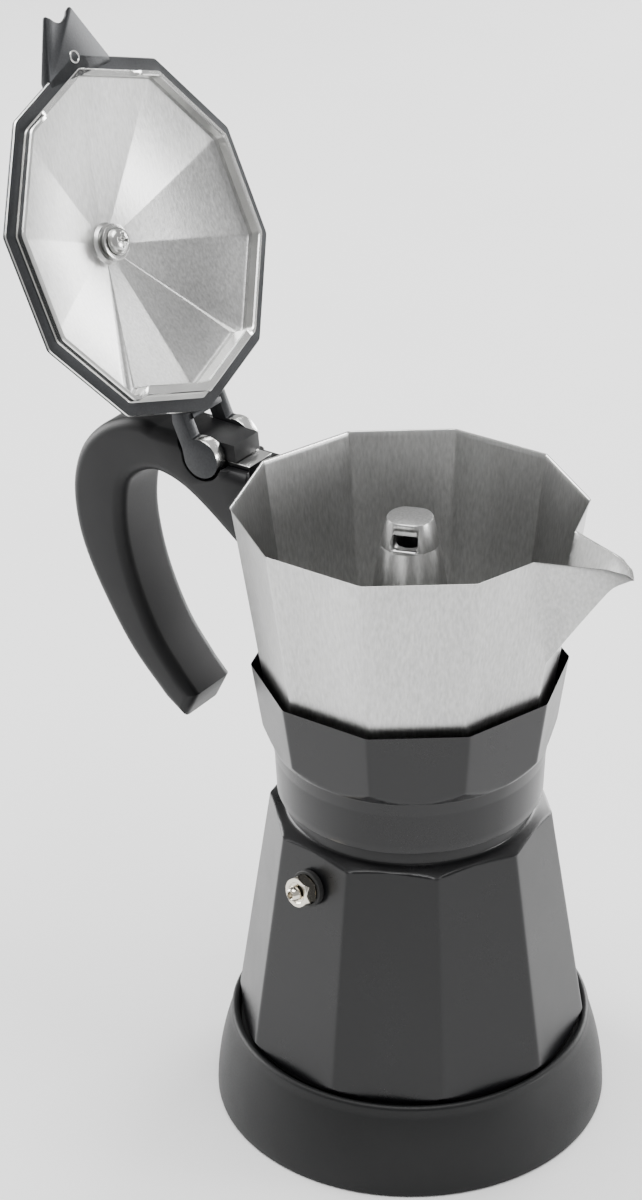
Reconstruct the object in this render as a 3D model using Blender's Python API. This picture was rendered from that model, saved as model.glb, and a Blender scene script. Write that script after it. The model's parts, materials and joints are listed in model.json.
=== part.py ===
"""Cordless electric moka pot: boiler on a plastic foot, screwed-on collector, open hinged lid.

Metres, +Z up. The origin is on the pot's axis, in the plane that the foot stands on.
+X points at the pouring spout and -X at the handle.
"""
import math

import bmesh
import bpy
from mathutils import Matrix, Vector

# ---------------------------------------------------------------- driving dimensions
SIDES = 10                      # facets of the boiler, the collector and the lid
GAP = 0.0003                    # left between pieces that touch
TURN_STEPS = 40                 # steps of a large turned face
SMALL_STEPS = 20                # steps of a small turned face

# Foot and what it holds
FOOT_RADIUS = 0.0558            # at the table
FOOT_FLARE = 0.0044             # how much the side draws in up to FOOT_FLARE_HEIGHT
FOOT_FLARE_HEIGHT = 0.024
FOOT_HEIGHT = 0.0268
FOOT_WALL = 0.0026
FOOT_LIP = 0.00095              # radius of the rounded top lip
SHELF_THICKNESS = 0.003
SHELF_INNER_RADIUS = 0.036
COVER_Z = 0.0022
COVER_THICKNESS = 0.0022
COUPLER_RADIUS = 0.017
COUPLER_HEIGHT = 0.0114
COUPLER_FLANGE = 0.0052         # width of the flange round the coupler
COUPLER_FLANGE_THICKNESS = 0.0018
COUPLER_SCREW_OFFSET = 0.0026   # screws' circle beyond the coupler's body
COUPLER_DROP = 0.0014           # how far the coupler stands under the cover
GROOVE_ROOF = 0.0035            # solid left over the coupler's ring grooves
PLATE_RADIUS = 0.0335
PLATE_THICKNESS = 0.0021
ELEMENT_RADIUS = 0.025
ELEMENT_TUBE = 0.0031
LEAD_RADIUS = 0.0009

# Boiler
BOILER_BOTTOM_Z = 0.024
BOILER_EDGE_Z = 0.0284          # lowest point of the facets' edges
BOILER_BASE_RADIUS = 0.04957    # over the corners, at BOILER_EDGE_Z
BOILER_HEIGHT = 0.065           # from there to the shoulder
BOILER_TWIST = math.radians(-10.33)
BOILER_UNDERCUT = 1.45          # rise over run of the turned lower edge
BOILER_WALL = 0.0032
BOILER_FLOOR = 0.0045
SHOULDER_RISE = 0.435           # rise over run of the shoulder cone

# Neck, thread and the parts clamped in it
NECK_RADIUS = 0.0323            # thread root
NECK_HEIGHT = 0.011             # threaded length
NECK_WALL = 0.0027
COLLAR_WIDTH = 0.0023
COLLAR_HEIGHT = 0.0036
THREAD_DEPTH = 0.0012
THREAD_PITCH = 0.003
THREAD_TURNS = 2.25
SEAL_THICKNESS = 0.0032
SEAL_WIDTH = 0.0064
SHEET = 0.0008                  # sheet aluminium of the funnel and the filter plate
BASKET_DEPTH = 0.0148
FUNNEL_CONE = 0.0065
STEM_RADIUS = 0.0046
STEM_CLEARANCE = 0.0025         # under the funnel's tube

# Collector
SKIRT_GAP = 0.001               # over the boiler's collar
SKIRT_RADIUS = 0.03674
SKIRT_HEIGHT = 0.012            # up to where the facets' undercut begins
WAIST_RADIUS = 0.04046          # over the corners, at the foot of the facets
COLLECTOR_HEIGHT = 0.08586      # skirt edge to rim
RIM_RADIUS = 0.050              # over the corners
COLLECTOR_WALL = 0.0025
COLLECTOR_FLOOR = 0.021         # inside floor, over the skirt's edge
COLUMN_BASE_RADIUS = 0.0142
COLUMN_TOP_RADIUS = 0.0064
COLUMN_TOP_DROP = 0.00356       # under the rim
COLUMN_BORE = 0.0038
COLUMN_ANGLE = math.radians(-70.6)
WINDOW_WIDTH = 0.0071
WINDOW_HEIGHT = 0.0048
LEDGE_DROP = 0.0113             # window ledge, under the rim

# Spout
SPOUT_LENGTH = 0.018            # tip beyond the rim's corner
SPOUT_START_HALF_WIDTH = 0.0108
SPOUT_TIP_HALF_WIDTH = 0.0031
SPOUT_DEPTH = 0.0344            # keel's foot under the rim
SPOUT_BEAK = 0.0065             # length of the overhanging tip
SPOUT_BEAK_DROP = 0.0085        # keel under the rim where the beak starts
SPOUT_TIP_DROP = 0.0043
SPOUT_TIP_CUT = 0.0052          # length over which the top edge slopes down
SPOUT_TIP_SLOPE = 0.6
SPOUT_WALL = 0.0015

# Hinge, handle and lid
HINGE_OFFSET = 0.01145          # hinge axis beyond the rim's corner
HINGE_RISE = 0.00073            # hinge axis over the rim
HINGE_PIN_RADIUS = 0.0015
HINGE_BORE = 0.0018
TONGUE_WIDTH = 0.0112
ARM_THICKNESS = 0.0038
ARM_RADIUS = 0.0057
ARM_TOP = 0.0049                # arms' top over the hinge axis
ARM_GAP = 0.0004                # each side of the tongue
LUG_WIDTH = 0.0106
LUG_REACH = 0.007               # beyond the rim's corner
LUG_HEIGHT = 0.014
HANDLE_WIDTH = 0.0192
HANDLE_EDGE = 0.0034
HANDLE_SCREW_RADIUS = 0.0019
LID_OPEN = math.radians(113.57)
LID_GAP = 0.0005                # lid's underside over the rim
LID_OVERHANG = 0.001
LID_FLANGE = 0.0024
LID_EDGE = 0.0009               # upright part of the flange's edge
LID_PEAK = 0.0143               # inside of the lid's peak over its underside
LID_ROOF = 0.003
LIP_HEIGHT = 0.0022
LIP_WIDTH = 0.0015
LIP_CLEARANCE = 0.0005
TAB_REACH = 0.013               # thumb tab's horns beyond the rim's corner
TAB_ROOT_HALF_WIDTH = 0.0128
TAB_TIP_HALF_WIDTH = 0.0056
TAB_NOTCH = 0.0037
BOSS_RADIUS = 0.0052
BOSS_END_DROP = 0.0026          # boss's end under the lid's inside peak
KNOB_RADIUS = 0.0105
KNOB_HEIGHT = 0.019

# Safety valve
VALVE_HEIGHT = 0.0602           # over the boiler's lower edge
VALVE_FACET = math.radians(-90)
VALVE_SHANK = 0.004
VALVE_HEX = 0.008               # across flats
VALVE_HEAD = 0.0034
VALVE_SEAL = 0.0018
VALVE_BORE = 0.0016

# ---------------------------------------------------------------- worked-out sizes
FLAT = math.cos(math.pi / SIDES)            # flat's radius over the corner's radius
SHOULDER_Z = BOILER_EDGE_Z + BOILER_HEIGHT
SHOULDER_RADIUS = NECK_RADIUS + COLLAR_WIDTH + 0.00487
BOILER_TAPER = (BOILER_BASE_RADIUS - SHOULDER_RADIUS) / BOILER_HEIGHT
COLLAR_RADIUS = NECK_RADIUS + COLLAR_WIDTH
COLLAR_Z = SHOULDER_Z + (SHOULDER_RADIUS - COLLAR_RADIUS) * SHOULDER_RISE + COLLAR_HEIGHT
NECK_TOP_Z = COLLAR_Z + NECK_HEIGHT
NECK_BORE = NECK_RADIUS - NECK_WALL
BOILER_FLOOR_Z = BOILER_BOTTOM_Z + BOILER_FLOOR
SHELF_Z = BOILER_BOTTOM_Z - GAP
SKIRT_Z = COLLAR_Z + SKIRT_GAP
RIM_Z = SKIRT_Z + COLLECTOR_HEIGHT
SKIRT_BORE = NECK_RADIUS + THREAD_DEPTH + 2 * GAP
SEAL_Z = NECK_TOP_Z + GAP + SHEET + GAP
SEAT_Z = SEAL_Z + SEAL_THICKNESS + GAP
FLOOR_Z = SKIRT_Z + COLLECTOR_FLOOR
UNDERCUT_Z = SKIRT_Z + SKIRT_HEIGHT
WAIST_Z = UNDERCUT_Z + 0.00766
COLLECTOR_TAPER = (RIM_RADIUS - WAIST_RADIUS) / (RIM_Z - WAIST_Z)
HINGE = Vector((-(RIM_RADIUS + HINGE_OFFSET), 0, RIM_Z + HINGE_RISE))
LID_Z = RIM_Z + LID_GAP
ARM_INNER = TONGUE_WIDTH / 2 + ARM_GAP
ARM_OUTER = ARM_INNER + ARM_THICKNESS

# ---------------------------------------------------------------- colours
FINISHES = {
    "painted_aluminium": ((0.035, 0.036, 0.039), 0.42, 0.3),
    "bare_aluminium": ((0.62, 0.62, 0.61), 0.35, 1.0),
    "black_plastic": ((0.022, 0.022, 0.024), 0.5, 0.0),
    "steel": ((0.55, 0.55, 0.54), 0.3, 1.0),
    "nickel": ((0.66, 0.64, 0.58), 0.22, 1.0),
    "brass": ((0.72, 0.52, 0.22), 0.3, 1.0),
    "rubber": ((0.75, 0.74, 0.7), 0.6, 0.0),
    "dark_seal": ((0.03, 0.03, 0.03), 0.7, 0.0),
    "brown_wire": ((0.16, 0.06, 0.02), 0.5, 0.0),
    "blue_wire": ((0.02, 0.08, 0.3), 0.5, 0.0),
    "green_wire": ((0.05, 0.3, 0.05), 0.5, 0.0),
}


def finish(name):
    """The material of that name, made on first use."""
    material = bpy.data.materials.get(name)
    if material:
        return material
    colour, roughness, metallic = FINISHES[name]
    material = bpy.data.materials.new(name)
    material.use_nodes = True
    shader = material.node_tree.nodes["Principled BSDF"]
    shader.inputs["Base Color"].default_value = (*colour, 1)
    shader.inputs["Roughness"].default_value = roughness
    shader.inputs["Metallic"].default_value = metallic
    return material


# ---------------------------------------------------------------- modelling helpers
def clear_scene():
    """Remove every object of the open file."""
    for obj in list(bpy.data.objects):
        bpy.data.objects.remove(obj, do_unlink=True)


def add_object(name, bm, material, smooth=True):
    """An object from a closed bmesh, with its faces pointing out."""
    bmesh.ops.remove_doubles(bm, verts=bm.verts, dist=1e-7)
    bmesh.ops.recalc_face_normals(bm, faces=bm.faces)
    mesh = bpy.data.meshes.new(name)
    bm.to_mesh(mesh)
    bm.free()
    if smooth:
        mesh.shade_smooth()
        mesh.set_sharp_from_angle(angle=math.radians(30))
    obj = bpy.data.objects.new(name, mesh)
    obj.data.materials.append(finish(material))
    bpy.context.collection.objects.link(obj)
    return obj


def turned(profile, steps=TURN_STEPS, phase=0.0):
    """A bmesh spun about Z from (radius, z) points; the profile closes on itself or on the axis."""
    bm = bmesh.new()
    verts = [bm.verts.new((r, 0, z)) for r, z in profile]
    edges = [bm.edges.new(pair) for pair in zip(verts, verts[1:])]
    if profile[0][0] > 0 or profile[-1][0] > 0:
        edges.append(bm.edges.new((verts[-1], verts[0])))
    bmesh.ops.rotate(bm, verts=verts, cent=(0, 0, 0), matrix=Matrix.Rotation(phase, 3, "Z"))
    bmesh.ops.spin(bm, geom=verts + edges, cent=(0, 0, 0), axis=(0, 0, 1),
                   angle=2 * math.pi, steps=steps, use_merge=True)
    bmesh.ops.remove_doubles(bm, verts=bm.verts, dist=1e-7)
    centres = [v for v in bm.verts if v.co.xy.length < 1e-6]
    flat = [v for v in centres if all(abs(e.other_vert(v).co.z - v.co.z) < 1e-7 for e in v.link_edges)]
    bmesh.ops.dissolve_verts(bm, verts=flat)
    return bm


def disc_profile(radius, low, high):
    """Profile of a plain cylinder from low to high."""
    return [(0, low), (radius, low), (radius, high), (0, high)]


def ring_profile(inner, outer, low, high):
    """Profile of a plain ring from low to high."""
    return [(inner, low), (outer, low), (outer, high), (inner, high)]


def lofted(rings):
    """A closed bmesh through rings of equal length, bridged in order and capped."""
    bm = bmesh.new()
    loops = []
    for ring in rings:
        verts = [bm.verts.new(point) for point in ring]
        loops.append([bm.edges.new(pair) for pair in zip(verts, verts[1:] + verts[:1])])
    bm.faces.new([edge.verts[0] for edge in loops[0]])
    bm.faces.new([edge.verts[0] for edge in loops[-1]])
    for low, high in zip(loops, loops[1:]):
        bmesh.ops.bridge_loops(bm, edges=low + high)
    return bm


def decagon(radius, z, twist=0.0):
    """Corner points of the pot's ten-sided section."""
    angles = [twist + 2 * math.pi * k / SIDES for k in range(SIDES)]
    return [(radius * math.cos(a), radius * math.sin(a), z) for a in angles]


def prism(outline, low, high):
    """An (x, y) outline drawn up from low to high."""
    return lofted([[(x, y, low) for x, y in outline], [(x, y, high) for x, y in outline]])


def slab(outline, half_width, offset=0.0):
    """An (x, z) outline drawn across Y, half_width each side of offset."""
    near = [(x, offset - half_width, z) for x, z in outline]
    far = [(x, offset + half_width, z) for x, z in outline]
    return lofted([near, far])


def block(low, high):
    """A plain box between two corners."""
    outline = [(low[0], low[1]), (high[0], low[1]), (high[0], high[1]), (low[0], high[1])]
    return prism(outline, low[2], high[2])


def rod(start, end, radius, steps=SMALL_STEPS):
    """A cylinder between two points."""
    start, end = Vector(start), Vector(end)
    along = end - start
    bm = turned(disc_profile(radius, 0, along.length), steps)
    turn = Vector((0, 0, 1)).rotation_difference(along).to_matrix().to_4x4()
    bmesh.ops.transform(bm, verts=bm.verts, matrix=Matrix.Translation(start) @ turn)
    return bm


def smooth_path(points, per_span):
    """Points of a smooth curve through the given ones (Catmull-Rom)."""
    points = [Vector(p) for p in points]
    padded = [2 * points[0] - points[1]] + points + [2 * points[-1] - points[-2]]
    path = []
    for a, b, c, d in zip(padded, padded[1:], padded[2:], padded[3:]):
        for step in range(per_span):
            t = step / per_span
            path.append(0.5 * (2 * b + (c - a) * t + (2 * a - 5 * b + 4 * c - d) * t ** 2
                               + (3 * b - a - 3 * c + d) * t ** 3))
    path.append(points[-1])
    return path


def cut(obj, cutter_mesh, operation="DIFFERENCE"):
    """Cut, join or intersect obj with a bmesh, as a live Boolean with a hidden cutter."""
    cutter = add_object(f"{obj.name}_tool_{len(obj.modifiers)}", cutter_mesh, "steel", smooth=False)
    cutter.hide_render = True
    cutter.display_type = "WIRE"
    if obj.parent:
        cutter.parent = obj.parent
    modifier = obj.modifiers.new(cutter.name, "BOOLEAN")
    modifier.operation = operation
    modifier.solver = "EXACT"
    modifier.object = cutter
    return obj


def join(obj, added_mesh):
    """Unite obj with a bmesh."""
    return cut(obj, added_mesh, "UNION")


def helix_ridge(root, crest, start_z, turns, outward):
    """A thread ridge: a trapezium swept up a right-hand helix, with its ends run out."""
    steps_per_turn = 28
    count = round(steps_per_turn * turns)
    half_root = 0.0008
    half_crest = 0.0004
    rings = []
    for k in range(count + 1):
        angle = 2 * math.pi * k / steps_per_turn
        z = start_z + THREAD_PITCH * k / steps_per_turn
        fade = min(1, min(k, count - k) / 4)
        top = root + (crest - root) * (0.08 + 0.92 * fade)
        buried = root - 0.0004 if outward else root + 0.0004
        section = ((buried, -half_root), (top, -half_crest), (top, half_crest), (buried, half_root))
        rings.append([(r * math.cos(angle), r * math.sin(angle), z + dz) for r, dz in section])
    return lofted(rings)


def wire(name, points, radius, material, per_span=5):
    """A round lead along a smooth route."""
    curve = bpy.data.curves.new(name, "CURVE")
    curve.dimensions = "3D"
    curve.bevel_depth = radius
    curve.bevel_resolution = 1
    curve.use_fill_caps = True
    path = smooth_path(points, per_span)
    spline = curve.splines.new("POLY")
    spline.points.add(len(path) - 1)
    for point, place in zip(spline.points, path):
        point.co = (*place, 1)
    obj = bpy.data.objects.new(name, curve)
    obj.data.materials.append(finish(material))
    bpy.context.collection.objects.link(obj)
    return obj


def around(count, radius, first=0.0):
    """Places evenly spaced on a circle."""
    angles = [first + 2 * math.pi * k / count for k in range(count)]
    return [(radius * math.cos(a), radius * math.sin(a)) for a in angles]


def pan_screw(name, place, head_z, tip_z, head_radius, shank_radius, head_height):
    """A screw along Z at place (x, y), from its head's face at head_z to its tip at tip_z."""
    way = 1 if tip_z > head_z else -1
    profile = [(0, head_z), (head_radius * 0.6, head_z), (head_radius, head_z + way * head_height * 0.5),
               (head_radius, head_z + way * head_height), (shank_radius, head_z + way * head_height),
               (shank_radius, tip_z), (0, tip_z)]
    screw = turned(profile, 12)
    bmesh.ops.translate(screw, verts=screw.verts, vec=(*place, 0))
    return add_object(name, screw, "steel")


# ---------------------------------------------------------------- foot
FOOT_SCREW_CIRCLE = SHELF_INNER_RADIUS + 0.005
COVER_SCREW_CIRCLE = FOOT_RADIUS - FOOT_WALL - 0.0085
COVER_POST_RADIUS = 0.0036
FOOT_BORE = BOILER_BASE_RADIUS - (BOILER_EDGE_Z - FOOT_HEIGHT) / BOILER_UNDERCUT + GAP
SMALL_SCREW = 0.0013


def foot_side(z):
    """Radius of the foot's bell-shaped side."""
    return FOOT_RADIUS - FOOT_FLARE * (z / FOOT_FLARE_HEIGHT) ** 1.9


def make_foot():
    """Plastic foot: a bell-shaped wall with a shelf that the boiler stands on."""
    side = [(foot_side(z), z) for z in (FOOT_FLARE_HEIGHT * k / 6 for k in range(7))]
    middle = FOOT_BORE + FOOT_LIP
    arc = [math.radians(a) for a in (35, 65, 90, 120, 150, 180)]
    lip = [(middle + FOOT_LIP * math.cos(a), FOOT_HEIGHT - FOOT_LIP + FOOT_LIP * math.sin(a)) for a in arc]
    shelf_low = SHELF_Z - SHELF_THICKNESS
    inside = [(foot_side(z) - FOOT_WALL, z) for z in (shelf_low, shelf_low / 2, 0)]
    profile = side + lip
    profile += [(FOOT_BORE, SHELF_Z), (SHELF_INNER_RADIUS, SHELF_Z), (SHELF_INNER_RADIUS, shelf_low)]
    foot = add_object("foot", turned(profile + inside), "black_plastic")
    for x, y in around(3, COVER_SCREW_CIRCLE):
        post = turned(disc_profile(COVER_POST_RADIUS, COVER_Z + COVER_THICKNESS + GAP, shelf_low + 0.001), 12)
        bmesh.ops.translate(post, verts=post.verts, vec=(x, y, 0))
        join(foot, post)
    for x, y in around(3, COVER_SCREW_CIRCLE):
        cut(foot, rod((x, y, 0), (x, y, COVER_Z + 0.012), SMALL_SCREW + GAP, 10))
    for x, y in around(3, FOOT_SCREW_CIRCLE, math.radians(60)):
        cut(foot, rod((x, y, shelf_low - 0.001), (x, y, SHELF_Z + 0.001), SMALL_SCREW + GAP, 10))
    return foot


def make_foot_cover():
    """Bottom plate that closes the foot round the coupler."""
    top = COVER_Z + COVER_THICKNESS
    edge = foot_side(top) - FOOT_WALL - 2 * GAP
    hole = COUPLER_RADIUS + GAP
    cover = add_object("foot_cover", turned(ring_profile(hole, edge, COVER_Z, top)), "black_plastic")
    for x, y in around(3, COVER_SCREW_CIRCLE):
        cut(cover, rod((x, y, COVER_Z - 0.001), (x, y, top + 0.001), SMALL_SCREW + GAP, 10))
    for x, y in around(2, COUPLER_RADIUS + COUPLER_SCREW_OFFSET, math.pi / 2):
        cut(cover, rod((x, y, COVER_Z + 0.0006), (x, y, top + 0.001), SMALL_SCREW + GAP, 10))


def make_foot_fasteners():
    """Screws of the boiler, of the cover and of the coupler."""
    shelf_low = SHELF_Z - SHELF_THICKNESS
    for k, place in enumerate(around(3, FOOT_SCREW_CIRCLE, math.radians(60))):
        pan_screw(f"foot_screw_{k + 1}", place, shelf_low - GAP - 0.0018, BOILER_FLOOR_Z - 0.0012,
                  0.0027, SMALL_SCREW, 0.0018)
    for k, place in enumerate(around(3, COVER_SCREW_CIRCLE)):
        pan_screw(f"cover_screw_{k + 1}", place, COVER_Z - GAP - 0.0014, COVER_Z + 0.0105,
                  0.0025, SMALL_SCREW, 0.0014)
    flange_top = COVER_Z + COVER_THICKNESS + GAP + COUPLER_FLANGE_THICKNESS
    for k, place in enumerate(around(2, COUPLER_RADIUS + COUPLER_SCREW_OFFSET, math.pi / 2)):
        pan_screw(f"coupler_screw_{k + 1}", place, flange_top + GAP + 0.0014, COVER_Z + 0.0009,
                  0.0024, SMALL_SCREW, 0.0014)


def make_coupler():
    """Round power coupler that the pot's base plugs into from below, and its contacts."""
    low = COVER_Z - COUPLER_DROP
    top = low + COUPLER_HEIGHT
    flange = COVER_Z + COVER_THICKNESS + GAP
    flange_top = flange + COUPLER_FLANGE_THICKNESS
    edge = COUPLER_RADIUS + COUPLER_FLANGE
    outer = [(COUPLER_RADIUS, low), (COUPLER_RADIUS, flange), (edge, flange), (edge, flange_top),
             (COUPLER_RADIUS, flange_top), (COUPLER_RADIUS, top), (0, top)]
    pin_hole = [(0, top - 0.002), (0.0026, top - 0.002), (0.0026, low)]
    roof = top - GROOVE_ROOF
    inner_groove = [(0.0062, low), (0.0062, roof), (0.0096, roof), (0.0096, low)]
    outer_groove = [(0.0121, low), (0.0121, roof), (0.0146, roof), (0.0146, low)]
    profile = pin_hole + inner_groove + outer_groove + outer
    coupler = add_object("coupler", turned(profile, 32), "black_plastic")
    for x, y in around(2, COUPLER_RADIUS + COUPLER_SCREW_OFFSET, math.pi / 2):
        cut(coupler, rod((x, y, flange - 0.001), (x, y, flange + 0.004), SMALL_SCREW + GAP, 10))
    pin = turned([(0, 0), (0.0017, 0), (0.0023, 0.0006), (0.0023, top - 0.0023), (0, top - 0.0023)], 16)
    add_object("coupler_pin", pin, "brass")
    rings = (("coupler_inner_ring", 0.0065, 0.0073), ("coupler_outer_ring", 0.0124, 0.0131))
    for name, inner, outer_radius in rings:
        contact = turned(ring_profile(inner, outer_radius, low + 0.001, roof - GAP), 32)
        add_object(name, contact, "brass")
    return top


def make_heater():
    """Heating plate, sheathed element, thermostat and thermal fuse under the boiler."""
    plate_top = BOILER_BOTTOM_Z - GAP
    plate_low = plate_top - PLATE_THICKNESS
    add_object("heating_plate", turned(disc_profile(PLATE_RADIUS, plate_low, plate_top)), "bare_aluminium")
    ring_z = plate_low - GAP - ELEMENT_TUBE
    gap_angle = math.radians(35)
    span = 2 * (math.pi - gap_angle)
    route = []
    for k in range(9):
        a = gap_angle + span * k / 8
        route.append((ELEMENT_RADIUS * math.cos(a), ELEMENT_RADIUS * math.sin(a), ring_z))
    drop = Vector((0, 0, -0.0058))
    ends = [Vector(route[0]) + Vector((0.0032, -0.0022, -0.002)),
            Vector(route[-1]) + Vector((0.0032, 0.0022, -0.002))]
    route = [ends[0] + drop, ends[0]] + route + [ends[1], ends[1] + drop]
    element = wire("heating_element", route, ELEMENT_TUBE * 0.96, "steel", per_span=4)
    element.data.bevel_resolution = 2
    body_top = plate_low - GAP
    shape = [(0, body_top - 0.0058), (0.0058, body_top - 0.0058), (0.0058, body_top - 0.0036),
             (0.0085, body_top - 0.0036), (0.0085, body_top), (0, body_top)]
    add_object("thermostat", turned(shape, 24), "steel")
    fuse_x, fuse_z = 0.0142, body_top - 0.0024
    fuse = rod((fuse_x, -0.0052, fuse_z), (fuse_x, 0.0052, fuse_z), 0.0021, 14)
    add_object("thermal_fuse", fuse, "rubber")
    return ends[0] + drop, ends[1] + drop, Vector((fuse_x, 0.0052, fuse_z)), plate_low


def make_leads(coupler_top, element_ends, fuse_end, plate_low):
    """Internal leads, each held at both ends."""
    start = coupler_top + 2 * GAP + LEAD_RADIUS
    low = Vector((0, 0, -2 * GAP - LEAD_RADIUS))
    near, far = element_ends[0] + low, element_ends[1] + low
    fuse_gap = 2 * GAP
    fuse_z = fuse_end.z
    live = [(0.004, -0.004, start), (0.008, -0.0075, start + 0.0012), (0.0125, -0.0095, fuse_z - 0.002),
            (fuse_end.x, -0.0085, fuse_z), (fuse_end.x, -fuse_end.y - fuse_gap, fuse_z)]
    wire("lead_live", live, LEAD_RADIUS, "brown_wire")
    fused = [(fuse_end.x, fuse_end.y + fuse_gap, fuse_z), (fuse_end.x, 0.009, fuse_z - 0.001),
             (0.0175, 0.0125, near.z + 0.002), (0.0195, 0.0130, near.z - 0.0008), near]
    wire("lead_fuse", fused, LEAD_RADIUS, "brown_wire")
    neutral = [(-0.002, -0.008, start), (0.004, -0.013, start + 0.0012), (0.012, -0.0165, start - 0.001),
               (0.0185, -0.0155, far.z - 0.0004), far]
    wire("lead_neutral", neutral, LEAD_RADIUS, "blue_wire")
    earth = [(-0.006, 0.004, start), (-0.010, 0.007, start + 0.002), (-0.013, 0.009, plate_low - 0.004),
             (-0.014, 0.0096, plate_low - 2 * GAP)]
    wire("lead_earth", earth, LEAD_RADIUS, "green_wire")


# ---------------------------------------------------------------- boiler
def boiler_radius(z):
    """Corner radius of the boiler's frustum."""
    return BOILER_BASE_RADIUS - BOILER_TAPER * (z - BOILER_EDGE_Z)


def make_boiler():
    """Cast water vessel: ten facets trimmed by turned cones, with a threaded neck."""
    low, high = BOILER_BOTTOM_Z - 0.002, COLLAR_Z - 0.0005
    rings = [decagon(boiler_radius(z), z, BOILER_TWIST) for z in (low, high)]
    boiler = add_object("boiler", lofted(rings), "painted_aluminium")
    under_radius = BOILER_BASE_RADIUS - (BOILER_EDGE_Z - BOILER_BOTTOM_Z) / BOILER_UNDERCUT
    wide = 0.004
    reach = BOILER_BASE_RADIUS + wide
    envelope = [(0, BOILER_BOTTOM_Z), (under_radius, BOILER_BOTTOM_Z),
                (reach, BOILER_EDGE_Z + wide * BOILER_UNDERCUT),
                (reach, SHOULDER_Z - (reach - SHOULDER_RADIUS) * SHOULDER_RISE),
                (COLLAR_RADIUS, COLLAR_Z - COLLAR_HEIGHT), (COLLAR_RADIUS, COLLAR_Z), (0, COLLAR_Z)]
    cut(boiler, turned(envelope, 60), "INTERSECT")
    join(boiler, turned(disc_profile(NECK_RADIUS, COLLAR_Z - 0.003, NECK_TOP_Z)))
    thread_z = COLLAR_Z + 0.0016
    join(boiler, helix_ridge(NECK_RADIUS, NECK_RADIUS + THREAD_DEPTH, thread_z, THREAD_TURNS, True))
    inner_low = boiler_radius(BOILER_FLOOR_Z) * FLAT - BOILER_WALL
    inner_high = boiler_radius(SHOULDER_Z) * FLAT - BOILER_WALL
    fillet = 0.004
    cavity = [(0, BOILER_FLOOR_Z), (inner_low - fillet, BOILER_FLOOR_Z),
              (inner_low - fillet * 0.3, BOILER_FLOOR_Z + fillet * 0.3), (inner_low, BOILER_FLOOR_Z + fillet),
              (inner_high, SHOULDER_Z - 0.006), (NECK_BORE, SHOULDER_Z + 0.0005),
              (NECK_BORE, NECK_TOP_Z + 0.001), (0, NECK_TOP_Z + 0.001)]
    cut(boiler, turned(cavity))
    for x, y in around(3, FOOT_SCREW_CIRCLE, math.radians(60)):
        start = (x, y, BOILER_BOTTOM_Z - 0.001)
        cut(boiler, rod(start, (x, y, BOILER_FLOOR_Z - 0.0009), SMALL_SCREW + GAP, 10))
    hole = rod((0, 0, -0.012), (0, 0, 0.006), VALVE_SHANK + GAP, 18)
    hole.transform(valve_frame())
    cut(boiler, hole)
    return boiler


# ---------------------------------------------------------------- safety valve
def valve_frame():
    """Matrix whose +Z leaves the boiler's facet squarely at the valve."""
    angle = VALVE_FACET + BOILER_TWIST
    z = BOILER_EDGE_Z + VALVE_HEIGHT - 0.0046
    flat = boiler_radius(z) * FLAT
    lean = math.atan(BOILER_TAPER * FLAT)
    outward = Vector((math.cos(angle) * math.cos(lean), math.sin(angle) * math.cos(lean), math.sin(lean)))
    place = Vector((flat * math.cos(angle), flat * math.sin(angle), z))
    turn = Vector((0, 0, 1)).rotation_difference(outward).to_matrix().to_4x4()
    return Matrix.Translation(place) @ turn


def make_valve():
    """Safety valve: hexagon body, seal, sprung stem and its spring."""
    frame = valve_frame()
    head_low = GAP + VALVE_SEAL + GAP
    head_high = head_low + VALVE_HEAD
    shank_low = -0.0066
    body = [(VALVE_BORE, shank_low), (VALVE_SHANK, shank_low), (VALVE_SHANK, head_low + 0.0004),
            (VALVE_BORE, head_low + 0.0004)]
    valve = add_object("valve_body", turned(body, 18), "nickel")
    corner = VALVE_HEX / 2 / math.cos(math.pi / 6)
    sixths = [math.radians(60 * k) for k in range(6)]
    hexagon = [(corner * math.cos(a), corner * math.sin(a)) for a in sixths]
    join(valve, prism(hexagon, head_low, head_high))
    chamfer = [(0, head_low - 0.001), (corner + 0.001, head_low - 0.001),
               (corner + 0.001, head_high - 0.0012),
               (VALVE_HEX / 2 - 0.0004, head_high + 0.00005), (0, head_high + 0.00005)]
    cut(valve, turned(chamfer, 24), "INTERSECT")
    cut(valve, turned(disc_profile(VALVE_BORE, shank_low - 0.001, head_high + 0.001), 14))
    washer = ring_profile(VALVE_SHANK + GAP, VALVE_HEX / 2 + 0.0011, GAP, GAP + VALVE_SEAL)
    seal = turned(washer, 24)
    seal_obj = add_object("valve_seal", seal, "dark_seal")
    stem_low = shank_low - 0.0088
    stem = [(0, stem_low), (0.0028, stem_low), (0.0028, stem_low + 0.0008), (0.0012, stem_low + 0.0008),
            (0.0012, head_high + GAP), (0.0021, head_high + GAP), (0.0021, head_high + 0.0009),
            (0.0014, head_high + 0.0022), (0.0008, head_high + 0.0022), (0.0008, head_high + 0.0010),
            (0, head_high + 0.0010)]
    stem_obj = add_object("valve_stem", turned(stem, 14), "nickel")
    turns, per_turn = 5, 12
    low, high = stem_low + 0.0008 + GAP + 0.0004, shank_low - GAP - 0.0004
    coil = []
    for k in range(turns * per_turn + 1):
        a = 2 * math.pi * k / per_turn
        coil.append((0.0021 * math.cos(a), 0.0021 * math.sin(a), low + (high - low) * k / (turns * per_turn)))
    spring = wire("valve_spring", coil, 0.0003, "steel", per_span=1)
    for obj in (valve, seal_obj, stem_obj, spring):
        obj.matrix_world = frame
    for modifier in valve.modifiers:
        modifier.object.matrix_world = frame


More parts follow.
